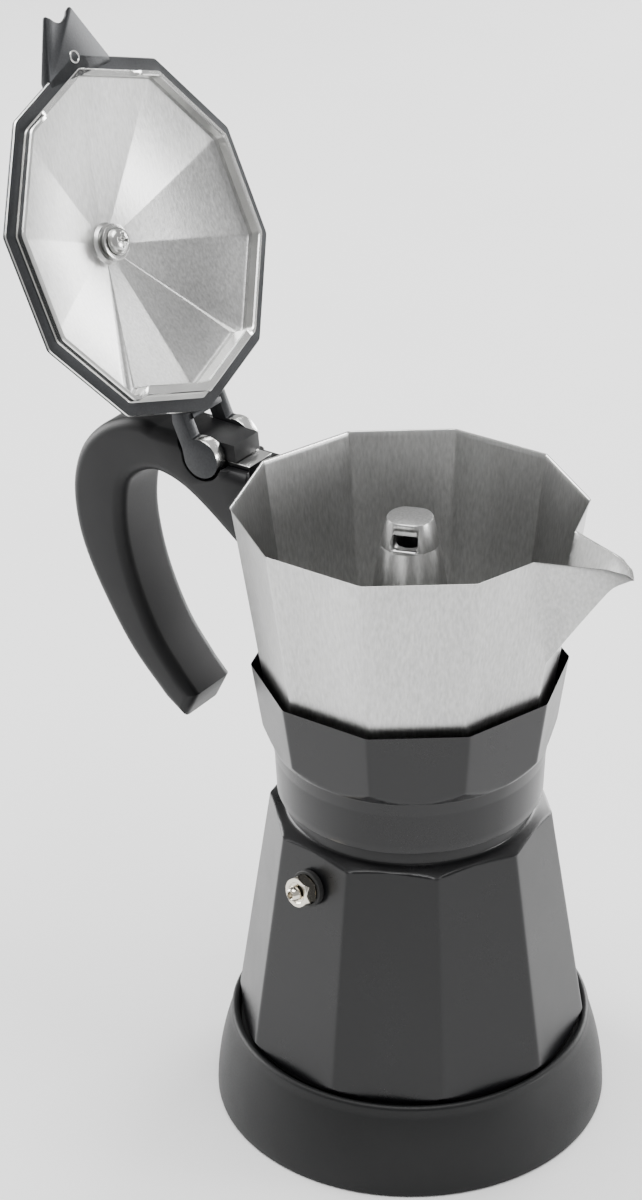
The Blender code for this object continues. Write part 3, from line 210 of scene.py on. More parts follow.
def make_finishes(colours):
    """Every finish of the pot, by name."""
    return {
        # satin paint with a slight orange peel
        "paint": finish("dark_satin_paint", colours.paint, 0.3, 0.0, 0.35 * MM, 0.004 * MM, 0.07,
                        gloss=0.36),
        # the lid's paint is sprayed over a coarser casting, so its flake shows more
        "lid_paint": finish("dark_lid_paint", colours.lid_paint, 0.36, 0.6, 0.5 * MM, 0.02 * MM, 0.35,
                            gloss=0.4),
        # bare casting: fine upright streaks from the mould and from polishing
        "casting": finish("bare_cast_aluminium", colours.casting, 0.34, 1.0, 0.7 * MM, 0.03 * MM, 0.28,
                          (1, 1, 0.25)),
        # faced by a cutter, so brighter and smoother
        "machined": finish("machined_aluminium", colours.machined, 0.22, 1.0, 0.2 * MM, 0.003 * MM, 0.05),
        # spun or pressed sheet
        "sheet": finish("pressed_aluminium_sheet", colours.casting, 0.3, 1.0, 0.3 * MM, 0.004 * MM, 0.06),
        # fine spark-eroded mould texture
        "plastic": finish("moulded_black_plastic", colours.plastic, 0.46, 0.0, 0.4 * MM, 0.012 * MM, 0.12,
                          gloss=0.3),
        "foot": finish("moulded_foot_plastic", colours.foot, 0.5, 0.0, 0.45 * MM, 0.015 * MM, 0.12,
                       gloss=0.32),
        "inner_plastic": finish("moulded_inner_plastic", hex_colour("2b2b2c"), 0.55, 0.0, 0.5 * MM,
                                0.012 * MM),
        "steel": finish("plated_steel", colours.steel, 0.24, 1.0, 0.25 * MM, 0.003 * MM, 0.08),
        "nickel": finish("nickel_plating", colours.nickel, 0.16, 1.0, 0.3 * MM, 0.002 * MM, 0.05),
        "brass": finish("contact_brass", hex_colour("c9a254"), 0.28, 1.0, 0.3 * MM, 0.004 * MM, 0.1),
        "rubber": finish("silicone_rubber", hex_colour("e4e1da"), 0.55, 0.0, 0.4 * MM, 0.006 * MM, 0.05),
        "fibre": finish("fibre_washer", hex_colour("232323"), 0.7, 0.0, 0.3 * MM, 0.02 * MM, 0.2),
        "sleeve": finish("glass_fibre_sleeve", hex_colour("cfcabc"), 0.8, 0.0, 0.35 * MM, 0.05 * MM, 0.2,
                         (1, 0.25, 1)),
        "sheath": finish("heater_sheath", hex_colour("8d8a85"), 0.38, 1.0, 0.3 * MM, 0.006 * MM, 0.15),
        "brown": finish("brown_insulation", hex_colour("5d3a22"), 0.42, 0.0, 0.3 * MM, 0.003 * MM),
        "blue": finish("blue_insulation", hex_colour("2a4f9c"), 0.42, 0.0, 0.3 * MM, 0.003 * MM),
        "green": finish("green_insulation", hex_colour("4f8f35"), 0.42, 0.0, 0.3 * MM, 0.003 * MM),
    }


FINISHES = {}
CAD_FINISHES = {
    "foot_cover": "inner_plastic", "coupler": "inner_plastic", "coupler_pin": "brass",
    "coupler_inner_ring": "brass", "coupler_outer_ring": "brass", "heating_plate": "sheet",
    "heating_element": "sheath", "thermostat": "steel", "thermal_fuse": "sleeve", "lead_live": "brown",
    "lead_fuse": "brown", "lead_neutral": "blue", "lead_earth": "green", "hinge_pin": "steel",
    "handle_screw": "steel",
}


# ---------------------------------------------------------------- shapes
def smooth_min(a, b, blend):
    """The smaller of two values, with the crease rounded over blend."""
    share = max(0.0, min(1.0, 0.5 + 0.5 * (b - a) / blend))
    return b + (a - b) * share - blend * share * (1 - share)


def smooth_max(a, b, blend):
    """The larger of two values, with the crease rounded over blend."""
    return -smooth_min(-a, -b, blend)


def ten_sided(corner_radius, angle, twist, sharpness):
    """Radius of a ten-sided section with rounded corners, in that direction."""
    total = 0.0
    for k in range(SIDES):
        across = math.cos(angle - twist - math.pi * (2 * k + 1) / SIDES)
        if across > 0.5:
            total += across ** sharpness
    return corner_radius * FLAT / total ** (1 / sharpness)


def column_angles(twist=0.0, extra=()):
    """Directions of the mesh columns: close together at the corners, and more where extra asks."""
    half = math.degrees(math.pi / SIDES)
    offsets = (0, 0.2, 0.4, 0.7, 1.1, 1.7, 2.8, 5, 8, 12, half)
    angles = set()
    for k in range(SIDES):
        corner = 360 / SIDES * k
        for offset in offsets:
            angles.add(round((corner + offset) % 360, 4))
            angles.add(round((corner - offset) % 360, 4))
    angles.update(round(a % 360, 4) for a in extra)
    return [math.radians(a) + twist for a in sorted(angles)]


def spin_points(angles, radius, z):
    """One mesh row: radius and z are numbers or functions of the angle."""
    row = []
    for a in angles:
        r = radius(a) if callable(radius) else radius
        h = z(a) if callable(z) else z
        row.append((r * math.cos(a), r * math.sin(a), h))
    return row


def steps(low, high, step):
    """Heights from low to high, about that far apart."""
    count = max(1, round((high - low) / step))
    return [low + (high - low) * k / count for k in range(count + 1)]


def rows_to_mesh(rows, bands, closed):
    """A bmesh through rows of points; bands holds each band's material number."""
    bm = bmesh.new()
    rings = [[bm.verts.new(p) for p in row] for row in rows]
    pairs = list(zip(rings, rings[1:]))
    if closed:
        pairs.append((rings[-1], rings[0]))
    for (low, high), band in zip(pairs, bands):
        count = len(low)
        for k in range(count):
            face = bm.faces.new((low[k], low[(k + 1) % count], high[(k + 1) % count], high[k]))
            face.material_index = band
    if not closed:
        bm.faces.new(rings[0]).material_index = bands[0]
        bm.faces.new(rings[-1]).material_index = bands[-1]
    bmesh.ops.recalc_face_normals(bm, faces=bm.faces)
    return bm


def even_angles(count):
    """Directions evenly spaced round a full turn."""
    return [2 * math.pi * k / count for k in range(count)]


def arc(centre, radius, turns):
    """Points of a circle at the given turns, in degrees."""
    angles = [math.radians(turn) for turn in turns]
    return [(centre[0] + radius * math.cos(a), centre[1] + radius * math.sin(a)) for a in angles]


def lathe(profile, sides=64, closed=False):
    """A turned bmesh from (radius, z) points, capped flat at both ends unless its profile is closed."""
    angles = even_angles(sides)
    rows = [spin_points(angles, r, z) for r, z in profile]
    return rows_to_mesh(rows, [0] * len(rows), closed)


def ring(profile, sides=64):
    """A turned bmesh whose profile closes on itself."""
    return lathe(profile, sides, closed=True)


def slab(outline, half_width, offset=0.0):
    """An (x, z) outline drawn across Y."""
    bm = bmesh.new()
    near = [bm.verts.new((x, offset - half_width, z)) for x, z in outline]
    far = [bm.verts.new((x, offset + half_width, z)) for x, z in outline]
    bm.faces.new(near)
    bm.faces.new(far)
    for k in range(len(near)):
        following = (k + 1) % len(near)
        bm.faces.new((near[k], near[following], far[following], far[k]))
    bmesh.ops.recalc_face_normals(bm, faces=bm.faces)
    return bm


def rounded(bm, width, segments=3, least=30):
    """Round every edge that turns by more than least degrees."""
    edges = [e for e in bm.edges if len(e.link_faces) == 2 and e.calc_face_angle(0) > math.radians(least)]
    bmesh.ops.bevel(bm, geom=edges, offset=width, offset_type="OFFSET", segments=segments, profile=0.5,
                    affect="EDGES", clamp_overlap=True)
    return bm


def rod(start, end, radius, sides=32):
    """A cylinder between two points."""
    start, end = Vector(start), Vector(end)
    bm = lathe([(radius, 0), (radius, (end - start).length)], sides)
    turn = Vector((0, 0, 1)).rotation_difference(end - start).to_matrix().to_4x4()
    bm.transform(Matrix.Translation(start) @ turn)
    return bm


def gathered(parts):
    """One bmesh that holds several; the parts are freed."""
    whole = bmesh.new()
    for part in parts:
        mesh = bpy.data.meshes.new("part")
        part.to_mesh(mesh)
        part.free()
        whole.from_mesh(mesh)
        bpy.data.meshes.remove(mesh)
    return whole


def plain_object(name, bm, finishes):
    """A new object at the origin from a bmesh."""
    mesh = bpy.data.meshes.new(name)
    bm.to_mesh(mesh)
    bm.free()
    mesh.shade_smooth()
    mesh.set_sharp_from_angle(angle=math.radians(32))
    obj = bpy.data.objects.new(name, mesh)
    for item in finishes:
        mesh.materials.append(FINISHES[item])
    bpy.context.scene.collection.objects.link(obj)
    return obj


def settled(obj):
    """obj with its modifiers turned into plain mesh."""
    bpy.context.view_layer.update()
    graph = bpy.context.evaluated_depsgraph_get()
    mesh = bpy.data.meshes.new_from_object(obj.evaluated_get(graph), depsgraph=graph)
    obj.modifiers.clear()
    obj.data = mesh
    return obj


def trimmed(obj, cutters):
    """Cut obj with several bmeshes, one Boolean each, and settle the result."""
    helpers = []
    for bm in cutters:
        helper = plain_object("helper", bm, [])
        modifier = obj.modifiers.new("cut", "BOOLEAN")
        modifier.solver = "EXACT"
        modifier.operation = "DIFFERENCE"
        modifier.object = helper
        helpers.append(helper)
    settled(obj)
    for helper in helpers:
        bpy.data.objects.remove(helper, do_unlink=True)
    return obj


def placed(obj, body, slot, *nodes):
    """Let obj ride on a body and stand for CAD nodes; slot is not used."""
    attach(obj, body)
    if nodes:
        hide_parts(*nodes)
    return obj


def piece(name, bm, finishes, body, slot, *nodes):
    """A new object from a bmesh, placed on its body."""
    return placed(plain_object(name, bm, finishes), body, slot, *nodes)


def opened(obj):
    """Turn a piece drawn on the closed lid to the open rest place."""
    swing = Matrix.Translation(HINGE) @ Matrix.Rotation(-LID_OPEN, 4, "Y") @ Matrix.Translation(-HINGE)
    obj.data.transform(swing)
    return obj


def lid_piece(name, bm, finishes, slot, *nodes):
    """A new object that rides on the lid, from a bmesh drawn on the closed lid."""
    return placed(opened(plain_object(name, bm, finishes)), "lid_body", slot, *nodes)


# ---------------------------------------------------------------- collector
SKIRT_RADIUS = 36.74 * MM
RIM_RADIUS = 50 * MM
WAIST_RADIUS = 40.46 * MM
UNDERCUT_Z = SKIRT_Z + 12 * MM
WAIST_Z = UNDERCUT_Z + 7.66 * MM
COLLECTOR_TAPER = (RIM_RADIUS - WAIST_RADIUS) / (RIM_Z - WAIST_Z)
FLOOR_Z = SKIRT_Z + 21 * MM
SKIRT_BORE = 34.1 * MM
COLUMN_BORE = 3.8 * MM
SPOUT_START_X = RIM_RADIUS * FLAT - 0.4 * MM
SPOUT_START_HALF = 10.8 * MM
SPOUT_TIP_HALF = 3.1 * MM
SPOUT_FOOT = (44.6 * MM, RIM_Z - 34.4 * MM)
SPOUT_BEAK = (SPOUT_X - 6.5 * MM, RIM_Z - 8.5 * MM)
SPOUT_END_Z = RIM_Z - 4.3 * MM
SPOUT_WALL = 1.65 * MM
KEEL = 0.8 * MM


def line(x, a, b):
    """Height at x on the straight line through two (x, z) points."""
    return a[1] + (b[1] - a[1]) * (x - a[0]) / (b[0] - a[0])


def keel_height(x):
    """Height of the spout's keel, with its bend eased."""
    steep = line(x, SPOUT_FOOT, SPOUT_BEAK)
    shallow = line(x, SPOUT_BEAK, (SPOUT_X, SPOUT_END_Z))
    return smooth_min(steep, shallow, 1.6 * MM)


def spout_half(x, z):
    """Half the spout's width at that place on its outside."""
    share = (x - SPOUT_START_X) / (SPOUT_X - SPOUT_START_X)
    wide = SPOUT_START_HALF + (SPOUT_TIP_HALF - SPOUT_START_HALF) * share
    low = keel_height(x)
    return KEEL + (wide - KEEL) * (z - low) / (RIM_Z - low)


def spout_reach(angle, z, wall, end):
    """Radius at which a ray at that height leaves the spout, or its channel when wall is not 0."""
    if abs(angle) > math.radians(24):
        return 0.0
    low, high = 30 * MM, end / math.cos(angle)
    if abs(low * math.sin(angle)) > spout_half(low * math.cos(angle), z) - wall:
        return 0.0
    for _ in range(22):
        middle = (low + high) / 2
        if abs(middle * math.sin(angle)) < spout_half(middle * math.cos(angle), z) - wall:
            low = middle
        else:
            high = middle
    return low


def signed(angle):
    """The angle in the range -pi to pi."""
    return math.remainder(angle, 2 * math.pi)


def rim_height(x):
    """Height of the rim at x: it slopes down over the spout's tip."""
    return RIM_Z - max(0.0, x - (SPOUT_X - 6.2 * MM)) * 0.6


# (height, radius) of the skirt and of the turned cut that ends the facets
TURNED_FOOT = [(SKIRT_Z, SKIRT_RADIUS), (UNDERCUT_Z, SKIRT_RADIUS + 0.5 * MM),
               (WAIST_Z - 3.6 * MM, WAIST_RADIUS * FLAT - 0.6 * MM),
               (WAIST_Z - 2.1 * MM, WAIST_RADIUS * FLAT + 0.5 * MM),
               (WAIST_Z, WAIST_RADIUS), (WAIST_Z + 20 * MM, WAIST_RADIUS + 20 * MM)]


def turned_radius(z):
    """Radius of the turned profile that trims the facets' lower end."""
    for (z1, r1), (z2, r2) in zip(TURNED_FOOT, TURNED_FOOT[1:]):
        if z <= z2:
            return r1 + (r2 - r1) * (z - z1) / (z2 - z1)
    return math.inf


def jug_outside(angle, z, sharpness):
    """Radius of the collector's outside."""
    if z < UNDERCUT_Z:
        return turned_radius(z)
    body = ten_sided(RIM_RADIUS - COLLECTOR_TAPER * (RIM_Z - z), angle, 0, sharpness)
    body = smooth_min(body, turned_radius(z), 0.25 * MM)
    spout = spout_reach(signed(angle), z, 0.0, SPOUT_X)
    return smooth_max(body, spout, 0.5 * MM) if spout else body


def jug_inside(angle, z, wall, sharpness):
    """Radius of the collector's inside."""
    body = ten_sided(RIM_RADIUS - COLLECTOR_TAPER * (RIM_Z - z) - wall / FLAT, angle, 0, sharpness)
    channel = spout_reach(signed(angle), z, SPOUT_WALL, SPOUT_X - 0.7 * MM)
    return smooth_max(body, channel, 0.4 * MM) if channel else body


def rim_place(angle, radius):
    """(radius, height) of the rim in that direction, where radius is a function of angle and height."""
    z = RIM_Z
    for _ in range(6):
        r = radius(angle, z)
        z = rim_height(r * math.cos(angle))
    return radius(angle, z), z


def collector_mesh(sizes):
    """The jug's casting as rows round its wall: outside, rim, inside, floor, chamber and bore."""
    sharp = sizes.corner_sharpness
    soft = sharp * 1.5
    beside_spout = (4, 6, 7, 9, 10, 11, 12.5, 13, 13.5, 14, 15)
    fine = [k * 0.3 for k in range(-11, 12)] + [side * k for side in (1, -1) for k in beside_spout]
    angles = column_angles(0, fine)
    outside = lambda a, z: jug_outside(a, z, sharp)
    inside = lambda a, z: jug_inside(a, z, sizes.wall, soft)
    outer_rim = {a: rim_place(a, outside) for a in angles}
    inner_rim = {a: rim_place(a, inside) for a in angles}
    fillet = sizes.rim_fillet
    rows, bands = [], []

    def row(radius, z, band):
        rows.append(spin_points(angles, radius, z))
        bands.append(band)

    row(SKIRT_BORE + 0.4 * MM, SKIRT_Z, 0)
    row(SKIRT_RADIUS - 0.3 * MM, SKIRT_Z, 0)
    row(SKIRT_RADIUS - 0.08 * MM, SKIRT_Z + 0.1 * MM, 0)
    heights = steps(SKIRT_Z + 0.35 * MM, UNDERCUT_Z - 1 * MM, 2 * MM)[:-1]
    heights += steps(UNDERCUT_Z - 1 * MM, WAIST_Z + 3 * MM, 0.28 * MM)[:-1]
    heights += steps(WAIST_Z + 3 * MM, SPOUT_FOOT[1] - 1 * MM, 4 * MM)[:-1]
    for z in heights:
        row(lambda a, z=z: outside(a, z), z, 0)
    start = SPOUT_FOOT[1] - 1 * MM
    for share in steps(0, 1, 0.02):
        def height(a, share=share):
            return start + (outer_rim[a][1] - fillet - start) * share
        row(lambda a, height=height: outside(a, height(a)), height, 0)
    bands[-1] = 1
    row(lambda a: outer_rim[a][0] - 0.3 * fillet, lambda a: outer_rim[a][1] - 0.3 * fillet, 1)
    row(lambda a: outer_rim[a][0] - fillet, lambda a: outer_rim[a][1], 1)
    row(lambda a: inner_rim[a][0] + fillet, lambda a: inner_rim[a][1], 1)
    row(lambda a: inner_rim[a][0] + 0.3 * fillet, lambda a: inner_rim[a][1] - 0.3 * fillet, 1)
    inner_low = FLOOR_Z + 3 * MM
    for share in steps(0, 1, 0.02):
        def height(a, share=share):
            return inner_rim[a][1] - fillet + (inner_low - inner_rim[a][1] + fillet) * share
        row(lambda a, height=height: inside(a, height(a)), height, 2)
    for turn in (22, 45, 68, 90):
        lean = math.radians(turn)
        depth = 3 * MM * (1 - math.cos(lean))
        row(lambda a, depth=depth: inside(a, inner_low) - depth, inner_low - 3 * MM * math.sin(lean), 2)
    for radius, z in ((16 * MM, FLOOR_Z), (COLUMN_BORE, FLOOR_Z),
                      (COLUMN_BORE + 0.2 * MM, SEAT_Z + 2.9 * MM),
                      (26 * MM, SEAT_Z + 0.3 * MM), (SKIRT_BORE, SEAT_Z + 0.3 * MM),
                      (SKIRT_BORE, SKIRT_Z + 0.4 * MM)):
        row(radius, z, 2)
    return rows_to_mesh(rows, bands, closed=True)


COLUMN_ANGLE = math.radians(-70.6)
COLUMN_TOP_Z = RIM_Z - 3.56 * MM
LEDGE_Z = RIM_Z - 11.3 * MM


def column_mesh():
    """The column's turned part, with a fillet at its foot, up to the window ledge."""
    ledge = 8.0 * MM
    profile = [(COLUMN_BORE, FLOOR_Z - 0.4 * MM), (17.5 * MM, FLOOR_Z - 0.4 * MM),
               (17.0 * MM, FLOOR_Z + 0.02 * MM),
               (15.6 * MM, FLOOR_Z + 0.25 * MM), (14.7 * MM, FLOOR_Z + 0.9 * MM),
               (14.1 * MM, FLOOR_Z + 2 * MM),
               (ledge + 1.9 * MM, LEDGE_Z - 12 * MM), (ledge + 0.05 * MM, LEDGE_Z - 0.3 * MM),
               (ledge - 0.1 * MM, LEDGE_Z), (COLUMN_BORE, LEDGE_Z)]
    return ring(profile, 72)


def head_section(radius, pinch, z, count=48):
    """A round section pressed in on the two window sides."""
    points = []
    for k in range(count):
        a = 2 * math.pi * k / count
        r = smooth_min(radius, (radius - pinch) / max(0.2, abs(math.cos(a))), 0.6 * MM)
        points.append((r * math.cos(a + COLUMN_ANGLE), r * math.sin(a + COLUMN_ANGLE), z))
    return points


def column_head():
    """The column's head: solid above the windows, hollow below."""
    top = COLUMN_TOP_Z
    sections = [(7.95, 1.4, LEDGE_Z - 0.6 * MM), (7.9, 1.4, LEDGE_Z + 0.1 * MM), (6.3, 0.6, top - 0.5 * MM),
                (6.1, 0.6, top - 0.15 * MM), (5.7, 0.5, top)]
    rows = [head_section(radius * MM, pinch * MM, z) for radius, pinch, z in sections]
    return rows_to_mesh(rows, [0] * len(rows), closed=False)


def box_mesh(low, high):
    """A plain box between two corners."""
    bm = bmesh.new()
    size = Vector(high) - Vector(low)
    middle = (Vector(high) + Vector(low)) / 2
    bmesh.ops.create_cube(bm, size=1, matrix=Matrix.Translation(middle) @ Matrix.Diagonal((*size, 1)))
    return bm


def make_column():
    """The central column, with a window on each side and its coffee bore."""
    piece("column_foot", column_mesh(), ["casting"], "collector_body", "painted_aluminium")
    head = plain_object("column_head", column_head(), ["casting"])
    window = box_mesh((-14 * MM, -3.5 * MM, LEDGE_Z + 0.15 * MM), (14 * MM, 3.5 * MM, LEDGE_Z + 4.8 * MM))
    rounded(window, 0.8 * MM, 3)
    window.transform(Matrix.Rotation(COLUMN_ANGLE, 4, "Z"))
    bore = lathe([(COLUMN_BORE, LEDGE_Z - 2 * MM), (COLUMN_BORE, COLUMN_TOP_Z - 2.4 * MM)], 32)
    trimmed(head, [bore, window])
    placed(head, "collector_body", "painted_aluminium")


def make_lug():
    """The casting's lug that the handle is screwed to, bare on top."""
    low = RIM_Z - 14 * MM
    outline = [(-57 * MM, RIM_Z - 0.01 * MM), (-57 * MM, low + 4 * MM), (-53 * MM, low), (-48.3 * MM, low),
               (-48.3 * MM, RIM_Z - 0.01 * MM)]
    bm = slab(outline, 5.3 * MM)
    rounded(bm, 0.35 * MM, 3)
    for face in bm.faces:
        if face.normal.z > 0.5:
            face.material_index = 1
    piece("handle_lug", bm, ["paint", "machined"], "collector_body", "painted_aluminium")


# ---------------------------------------------------------------- boiler
BOILER_TWIST = math.radians(-10.33)
BOILER_EDGE_Z = BOILER_BOTTOM_Z + 4.4 * MM
BOILER_BASE_RADIUS = 49.57 * MM
SHOULDER_Z = BOILER_EDGE_Z + 65 * MM
SHOULDER_RADIUS = 39.47 * MM
BOILER_TAPER = (BOILER_BASE_RADIUS - SHOULDER_RADIUS) / (SHOULDER_Z - BOILER_EDGE_Z)
COLLAR_RADIUS = 34.6 * MM
COLLAR_Z = NECK_TOP_Z - 11 * MM
NECK_RADIUS = 32.3 * MM
NECK_BORE = 29.6 * MM


def boiler_outside(angle, z, sharpness):
    """Radius of the boiler's outside, up to the collar."""
    body = ten_sided(BOILER_BASE_RADIUS - BOILER_TAPER * (z - BOILER_EDGE_Z), angle, BOILER_TWIST, sharpness)
    undercut = BOILER_BASE_RADIUS + (z - BOILER_EDGE_Z) / 1.45
    shoulder = SHOULDER_RADIUS - (z - SHOULDER_Z) / 0.435
    body = smooth_min(body, undercut, 0.3 * MM)
    body = smooth_min(body, shoulder, 0.25 * MM)
    return smooth_max(body, COLLAR_RADIUS, 0.8 * MM)


def boiler_mesh(sizes):
    """The water vessel's casting, with its neck and its hollow."""
    sharp = sizes.corner_sharpness
    angles = column_angles(BOILER_TWIST)
    rows, bands = [], []

    def row(radius, z, band):
        rows.append(spin_points(angles, radius, z))
        bands.append(band)

    row(20 * MM, BOILER_BOTTOM_Z, 1)
    row(46.2 * MM, BOILER_BOTTOM_Z, 0)
    heights = steps(BOILER_BOTTOM_Z + 0.2 * MM, BOILER_EDGE_Z + 3 * MM, 0.3 * MM)[:-1]
    heights += steps(BOILER_EDGE_Z + 3 * MM, SHOULDER_Z - 3.5 * MM, 4 * MM)[:-1]
    heights += steps(SHOULDER_Z - 3.5 * MM, COLLAR_Z - 3.2 * MM, 0.22 * MM)
    for z in heights:
        row(lambda a, z=z: boiler_outside(a, z, sharp), z, 0)
    row(COLLAR_RADIUS, COLLAR_Z - 0.4 * MM, 0)
    row(COLLAR_RADIUS - 0.12 * MM, COLLAR_Z - 0.12 * MM, 0)
    row(COLLAR_RADIUS - 0.4 * MM, COLLAR_Z, 0)
    neck = [(NECK_RADIUS, COLLAR_Z), (NECK_RADIUS, NECK_TOP_Z - 0.6 * MM),
            (NECK_RADIUS - 0.6 * MM, NECK_TOP_Z),
            (NECK_BORE + 0.3 * MM, NECK_TOP_Z), (NECK_BORE, NECK_TOP_Z - 0.3 * MM)]
    hollow = [(NECK_BORE, SHOULDER_Z + 0.5 * MM), (34.3 * MM, SHOULDER_Z - 6 * MM),
              (43.5 * MM, BOILER_BOTTOM_Z + 9 * MM), (42.4 * MM, BOILER_BOTTOM_Z + 6 * MM),
              (39.5 * MM, BOILER_BOTTOM_Z + 4.5 * MM), (10 * MM, BOILER_BOTTOM_Z + 4.5 * MM)]
    for radius, z in neck + hollow:
        row(radius, z, 1)
    return rows_to_mesh(rows, bands, closed=False)


# ---------------------------------------------------------------- foot
def foot_mesh():
    """The bell-shaped foot with its rounded lip and the shelf inside."""
    def side(z):
        return FOOT_RADIUS - 4.4 * MM * (z / (24 * MM)) ** 1.9
    profile = [(FOOT_RADIUS - 2.2 * MM, 0), (FOOT_RADIUS - 0.5 * MM, 0),
               (FOOT_RADIUS - 0.12 * MM, 0.15 * MM)]
    profile += [(side(z), z) for z in steps(0.6 * MM, 24.4 * MM, 1.2 * MM)]
    inner = 48.8 * MM
    lip = (side(24.4 * MM) - inner) / 2
    middle = inner + lip
    profile += arc((middle, FOOT_TOP_Z - lip), lip, range(10, 181, 17))
    shelf = BOILER_BOTTOM_Z - 0.3 * MM
    profile += [(inner, shelf + 0.3 * MM), (inner - 0.3 * MM, shelf), (36.3 * MM, shelf),
                (36 * MM, shelf - 0.3 * MM),
                (36 * MM, shelf - 3 * MM), (side(20 * MM) - 2.6 * MM, shelf - 3 * MM),
                (side(10 * MM) - 2.6 * MM, 10 * MM),
                (FOOT_RADIUS - 2.6 * MM, 0.4 * MM)]
    return ring(profile, 160)


# ---------------------------------------------------------------- handle
TONGUE_HALF = 5.6 * MM
ARM_INNER = 6.0 * MM
ARM_OUTER = 9.8 * MM
ARM_RADIUS = 5.7 * MM


def smooth_path(points, per_span):
    """Points of a smooth curve through the given (x, z) ones."""
    points = [Vector(p) for p in points]
    padded = [2 * points[0] - points[1]] + points + [2 * points[-1] - points[-2]]
    path = []
    for a, b, c, d in zip(padded, padded[1:], padded[2:], padded[3:]):
        for step in range(per_span):
            t = step / per_span
            path.append(0.5 * (2 * b + (c - a) * t + (2 * a - 5 * b + 4 * c - d) * t ** 2
                               + (3 * b - a - 3 * c + d) * t ** 3))
    path.append(points[-1])
    return path


# side view of the handle, in millimetres from the hinge's axis
HANDLE_OUTER = [(-16.5, 4.6), (-21, 5.7), (-27, 4.7), (-35.5, 0.4), (-42.4, -7), (-46, -16.5), (-46.5, -27),
                (-44, -39), (-37.5, -53), (-28, -68), (-16.5, -80.3)]
HANDLE_END = [(-9.8, -85), (-5.6, -76.8)]
HANDLE_INNER = [(-10, -72.2), (-18.5, -61), (-25, -46.5), (-28.2, -33), (-28.5, -22.5), (-26.2, -14),
                (-19, -9.2),
                (-11.2, -9.6), (-2, -14.2), (14, -26.5)]
HANDLE_REACH = 30


def from_hinge(points):
    """(x, z) points in millimetres from the hinge's axis, in the frame."""
    return [(HINGE.x + x * MM, HINGE.z + z * MM) for x, z in points]


def handle_outline():
    """The handle's side view as one loop."""
    tongue = [(HANDLE_REACH, -1.6), (9, -1.6), (8.4, 4.4), (-6, 4.6)]
    outer = [tuple(p) for p in smooth_path(HANDLE_OUTER, 6)]
    inner = [tuple(p) for p in smooth_path(HANDLE_INNER, 6)]
    (x1, z1), (x2, z2) = HANDLE_INNER[-2:]
    under = (HANDLE_REACH, z2 + (z2 - z1) * (HANDLE_REACH - x2) / (x2 - x1))
    return from_hinge(tongue + outer + HANDLE_END + inner + [under])


def arm_slot(side):
    """Room for one of the lid's arms beside the tongue."""
    room = ARM_RADIUS + 0.9 * MM
    outline = arc((HINGE.x, HINGE.z), room, range(-18, -181, -9))
    outline += from_hinge([(-8.3, 3.4), (-11.8, 13), (30, 13), (30, -1.6)])
    inner, outer = TONGUE_HALF, 14 * MM
    return slab(outline, (outer - inner) / 2, side * (inner + outer) / 2)


def pot_side_cutter(gap):
    """The collector's ten-sided outside, a gap larger, where the handle meets it."""
    angles = even_angles(SIDES)
    rows = []
    for z in (RIM_Z - 45 * MM, RIM_Z + 6 * MM):
        radius = RIM_RADIUS - COLLECTOR_TAPER * (RIM_Z - z) + gap / FLAT
        rows.append(spin_points(angles, radius, z))
    return rows_to_mesh(rows, [0, 0], closed=False)


def handle_cutters():
    """What is cut from the handle: arm slots, pot side, lug pocket, pin bore and screw hole."""
    pocket_low = RIM_Z - 14.3 * MM
    pocket = [(-57.3 * MM, RIM_Z + 0.3 * MM), (-57.3 * MM, pocket_low + 4 * MM), (-53.3 * MM, pocket_low),
              (-30 * MM, pocket_low), (-30 * MM, RIM_Z + 0.3 * MM)]
    screw_x = -53.6 * MM
    return [arm_slot(1), arm_slot(-1), pot_side_cutter(0.3 * MM), slab(pocket, 5.6 * MM),
            rod((HINGE.x, -0.02, HINGE.z), (HINGE.x, 0.02, HINGE.z), 1.8 * MM),
            rod((screw_x, 0, RIM_Z - 40 * MM), (screw_x, 0, RIM_Z - 9 * MM), 2.2 * MM),
            rod((screw_x, 0, RIM_Z - 40 * MM), (screw_x, 0, RIM_Z - 17 * MM), 3.7 * MM)]


def handle_mesh(edge):
    """The handle's solid before it is cut, with its long edges rounded."""
    bm = slab(handle_outline(), HANDLE_HALF_WIDTH)
    ends = [f for f in bm.faces if len(f.verts) > 4]
    rims = list({e for f in ends for e in f.edges})
    bmesh.ops.bevel(bm, geom=rims, offset=edge, offset_type="OFFSET", segments=8, profile=0.5,
                    affect="EDGES")
    bmesh.ops.triangulate(bm, faces=[f for f in bm.faces if len(f.verts) > 4])
    return bm


# ---------------------------------------------------------------- lid, drawn closed
LID_Z = RIM_Z + 0.5 * MM
LID_RADIUS = 51 * MM
PEAK_Z = LID_Z + 14.3 * MM
ROOF_Z = PEAK_Z + 3 * MM
LIP_OUTER = 46.87 * MM
LIP_INNER = 45.37 * MM


def ramp(value, start, end):
    """0 before start, 1 after end, and an eased slope between."""
    share = max(0.0, min(1.0, (value - start) / (end - start)))
    return share * share * (3 - 2 * share)


def lip_drop(angle):
    """How far the lip stands down: none beside the spout, most beside the hinge."""
    away = abs(math.degrees(signed(angle)))
    return 2.1 * MM * ramp(away, 25, 28) + 1.5 * MM * ramp(away, 146, 148.5)


def lip_radius(angle, outer):
    """Radius of the lip's two sides; the tall stretch by the hinge leans inwards."""
    away = abs(math.degrees(signed(angle)))
    lean = 1.3 * MM * ramp(away, 146, 148.5)
    return (LIP_OUTER if outer else LIP_INNER - lean) - 0.8 * lean


